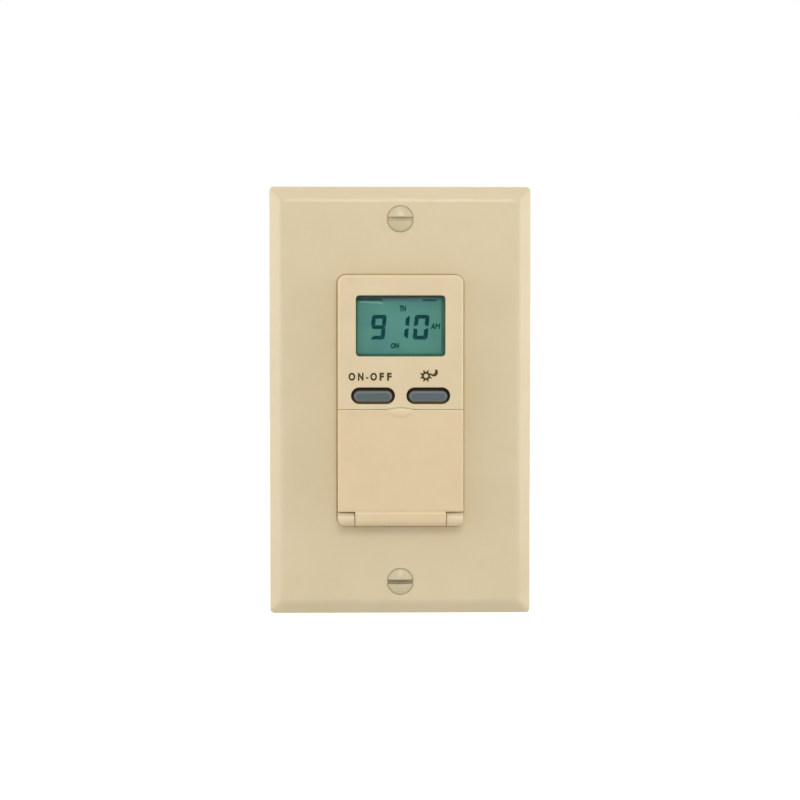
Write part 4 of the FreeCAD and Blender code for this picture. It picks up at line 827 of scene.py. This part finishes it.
def makeSlitShadeRing(look):
    slitRing = bmesh.new()
    for out in look["edgesOut"]:
        edge = bmesh.ops.create_grid(slitRing, x_segments=1, y_segments=1, size=0.5)["verts"]
        fit = (look["width"] + 2 * out, look["height"] + 2 * out, 1)
        bmesh.ops.scale(slitRing, verts=edge, vec=fit)
        bmesh.ops.bevel(
            slitRing, geom=edge, affect="VERTICES", offset=look["corner"] + out, segments=look["cornerSteps"],
            profile=0.5, material=-1)
    bmesh.ops.delete(slitRing, geom=slitRing.faces[:], context="FACES_ONLY")
    bmesh.ops.bridge_loops(slitRing, edges=slitRing.edges[:])
    front, back = look["fromTo"]
    raiseFlat(slitRing, back - front)
    standUp(slitRing, 0, back, 0)
    finishPiece(slitRing, "slitShadeRing", "slitShadeTan")


makeSlitShadeRing(slitShadeRing)
print("trim: in the slit round the bezel")

hinge = {
    # the axis in Y and Z, and where the ears start and end in X
    "axis": (-9.1, -31.35),
    "earFromTo": (12.3, 16.6),
    # a tan ring of painted shade on each pin, in the slit between the ear and the door's barrel
    "pinRingRadii": (0.98, 1.85),
    "pinRingFromTo": (12.06, 12.27),
    "pinRingSteps": 40,
    # a raised seat on each ear's crown, from its first angle to its last, with 0 at the top and 90 in front
    "seatRadii": (1.86, 1.99),
    "seatAngles": (-6, 52),
    "seatSteps": 12,
    # a thin stop under the bezel's lower edge, each side of the thumb lip
    "stopFromTo": (4.6, 16.3),
    "stopTopZ": -2.09,
    "stopHeight": 0.07,
    "stopY": (-10.9, -10.5),
}


def makeHingePieces(look):
    axisY, axisZ = look["axis"]
    pivot = Matrix.Translation((0, axisY, axisZ))
    pinRings, seats, stops = [], [], []
    for side in (-1, 1):
        pinRing = bmesh.new()
        for radius in look["pinRingRadii"]:
            bmesh.ops.create_circle(pinRing, segments=look["pinRingSteps"], radius=radius)
        bmesh.ops.bridge_loops(pinRing, edges=pinRing.edges[:])
        inner, outer = look["pinRingFromTo"]
        raiseFlat(pinRing, outer - inner)
        place = Matrix.Translation((side * inner, axisY, axisZ)) @ Matrix.Rotation(side * quarterTurn, 4, "Y")
        bmesh.ops.transform(pinRing, matrix=place, verts=pinRing.verts[:])
        pinRings.append(pinRing)
        seat = bmesh.new()
        start, end = (math.radians(angle) for angle in look["seatAngles"])
        low, high = look["seatRadii"]
        near, far = (side * x for x in look["earFromTo"])
        section = [(near, low), (far, low), (far, high), (near, high)]
        corners = [seat.verts.new((x, axisY, axisZ + radius)) for x, radius in section]
        face = bmesh.ops.contextual_create(seat, geom=corners)["faces"]
        lean = pivot @ Matrix.Rotation(start, 4, "X") @ pivot.inverted()
        bmesh.ops.transform(seat, matrix=lean, verts=seat.verts[:])
        bmesh.ops.spin(
            seat, geom=face, cent=(0, axisY, axisZ), axis=(1, 0, 0), angle=end - start, steps=look["seatSteps"])
        seats.append(seat)
        near, far = look["stopFromTo"]
        stop = flatBox(min(side * near, side * far), max(side * near, side * far), -look["stopHeight"], 0)
        front, back = look["stopY"]
        raiseFlat(stop, back - front)
        standUp(stop, 0, back, look["stopTopZ"])
        stops.append(stop)
    finishPiece(joinShapes(pinRings), "hingeShadeRings", "slitShadeTan")
    finishPiece(joinShapes(seats), "earSeats", "absBezel")
    finishPiece(joinShapes(stops), "doorStops", "absBezel")


makeHingePieces(hinge)
print("hinge: washers, seats on the ears and stops above the door")

threads = {
    # a rolled thread: how deep its foot lies in the shank, and how proud its crest stands
    "foot": 0.03,
    "crest": 0.13,
    # the pitch, and half the width of the foot as a share of it
    "pitch": 0.794,
    "footShare": 0.42,
    "stepsPerTurn": 20,
    # name: finish, slot, shank radius, threaded length and where it starts on each screw
    "boxScrewThreads": ("zincPlatedScrew", "screw_steel", 1.75, 21.2, [(0, 0.9, 41.67), (0, 0.9, -41.67)]),
    "plateScrewThreads": ("screwEnamel", "enamelled_screw", 1.7, 5.8, [(0, 0.4, 48.42), (0, 0.4, -48.42)]),
}


def threadShape(look, radius, length, start):
    # a triangular ridge wound round Y, from the front of the thread to the screw's tip
    turns = length / look["pitch"]
    steps = round(turns * look["stepsPerTurn"])
    foot, crest = radius - look["foot"], radius + look["crest"]
    half = look["footShare"] * look["pitch"]
    ridge = bmesh.new()
    corners = [ridge.verts.new(place) for place in ((foot, -half, 0), (crest, 0, 0), (foot, half, 0))]
    face = bmesh.ops.contextual_create(ridge, geom=corners)["faces"]
    bmesh.ops.spin(
        ridge, geom=face, cent=(0, 0, 0), axis=(0, 1, 0), dvec=(0, length / steps, 0),
        angle=turns * fullTurn, steps=steps)
    bmesh.ops.translate(ridge, verts=ridge.verts[:], vec=start)
    return ridge


def makeThreads(look):
    for name in ("boxScrewThreads", "plateScrewThreads"):
        finish, slotName, radius, length, starts = look[name]
        ridges = [threadShape(look, radius, length, start) for start in starts]
        finishPiece(joinShapes(ridges), name, finish)


makeThreads(threads)
print("threads: on the box screws and the plate screws")

studio = {
    "distance": 0.502,
    "azimuth": -1.1,
    "elevation": 1.45,
    "aim": (0.0, -0.0016, 0.00007),
    "lensMm": 83.95,
    "sensorMm": 36.0,
    "clipStart": 0.01,
    "floorZ": -0.115,
    "floorSize": 6.0,
    "floorColour": "#d2d2d2",
    "floorCloud": "#cecece",
    "floorCloudMm": 40.0,
    "floorGlow": 0.75,
    "dayColour": "#ffffff",
    "daylight": 0.785,
    "lamps": {
        # name: azimuth and elevation in degrees, distance and size in metres, power in watts, colour
        "rightLamp": (75, 8, 1.1, 0.6, 2.9, "#ffffff"),
        "leftLamp": (-75, 8, 1.1, 0.6, 2.95, "#ffffff"),
        "topLamp": (3, 28, 1.1, 0.3, 2.4, "#ffffff"),
        "backLamp": (160, 20, 1.2, 0.8, 6.0, "#ffffff"),
    },
}


def placeAround(azimuth, elevation, distance, middle):
    # azimuth 0 is straight in front, and it grows to the right
    turn, rise = math.radians(azimuth), math.radians(elevation)
    away = Vector((math.sin(turn) * math.cos(rise), -math.cos(turn) * math.cos(rise), math.sin(rise)))
    return Vector(middle) + away * distance


def aimAt(thing, place, middle):
    thing.location = place
    thing.rotation_euler = (Vector(middle) - place).to_track_quat("-Z", "Y").to_euler()


def makeStudio(look):
    camera = bpy.data.objects.new("camera", bpy.data.cameras.new("camera"))
    scene.collection.objects.link(camera)
    camera.data.lens = look["lensMm"]
    camera.data.sensor_width = look["sensorMm"]
    camera.data.clip_start = look["clipStart"]
    aimAt(camera, placeAround(look["azimuth"], look["elevation"], look["distance"], look["aim"]), look["aim"])
    scene.camera = camera
    for name, (azimuth, elevation, distance, size, power, colour) in look["lamps"].items():
        lamp = bpy.data.objects.new(name, bpy.data.lights.new(name, "AREA"))
        scene.collection.objects.link(lamp)
        lamp.data.size = size
        lamp.data.energy = power
        lamp.data.color = linearColour(colour)[:3]
        aimAt(lamp, placeAround(azimuth, elevation, distance, look["aim"]), look["aim"])
    world = bpy.data.worlds.new("daylight")
    world.use_nodes = True
    tree = world.node_tree
    tree.nodes.clear()
    # the camera, gloss and glass see a white backdrop, and all other light is the daylight
    path = addNode(tree, "ShaderNodeLightPath").outputs
    gloss = addNode(tree, "ShaderNodeMath", {"operation": "MAXIMUM"}, None, {
        0: path["Is Camera Ray"], 1: path["Is Glossy Ray"]})
    seen = addNode(tree, "ShaderNodeMath", {"operation": "MAXIMUM"}, None, {
        0: gloss.outputs[0], 1: path["Is Transmission Ray"]})
    day = addNode(tree, "ShaderNodeBackground", None, {
        "Color": linearColour(look["dayColour"]), "Strength": look["daylight"]})
    white = addNode(tree, "ShaderNodeBackground", None, {"Color": (1, 1, 1, 1), "Strength": 1.0})
    mix = addNode(tree, "ShaderNodeMixShader", None, None, {
        0: seen.outputs[0], 1: day.outputs[0], 2: white.outputs[0]})
    addNode(tree, "ShaderNodeOutputWorld", None, None, {"Surface": mix.outputs[0]})
    scene.world = world


def makeFloor(look):
    shape = bmesh.new()
    bmesh.ops.create_grid(shape, x_segments=1, y_segments=1, size=look["floorSize"] / 2)
    bmesh.ops.translate(shape, verts=shape.verts[:], vec=(0, 0, look["floorZ"]))
    floor = bpy.data.objects.new("floor", meshFrom(shape, "floor"))
    scene.collection.objects.link(floor)
    # matt white paper: the camera sees it a little brighter than it lights the switch
    material, tree, surface, coords = newFinish("paperFloor", {"Roughness": 0.9, "Emission Color": (1, 1, 1, 1)})
    cloud = {"Scale": patternScale(look["floorCloudMm"]), **softNoise}
    drift = addNode(tree, "ShaderNodeTexNoise", None, cloud, {"Vector": coords}).outputs["Fac"]
    greys = {mixFirst: linearColour(look["floorColour"]), mixSecond: linearColour(look["floorCloud"])}
    tone = addNode(tree, "ShaderNodeMix", colourMix, greys, {"Factor": drift}).outputs[mixed]
    tree.links.new(tone, surface.inputs["Base Color"])
    path = addNode(tree, "ShaderNodeLightPath")
    glow = addNode(tree, "ShaderNodeMath", {"operation": "MULTIPLY"}, {1: look["floorGlow"]}, {
        0: path.outputs["Is Camera Ray"]})
    tree.links.new(glow.outputs[0], surface.inputs["Emission Strength"])
    floor.data.materials.append(material)


makeStudio(studio)
makeFloor(studio)
scene.view_settings.view_transform = "Standard"
print("studio: camera, lamps, daylight and floor")
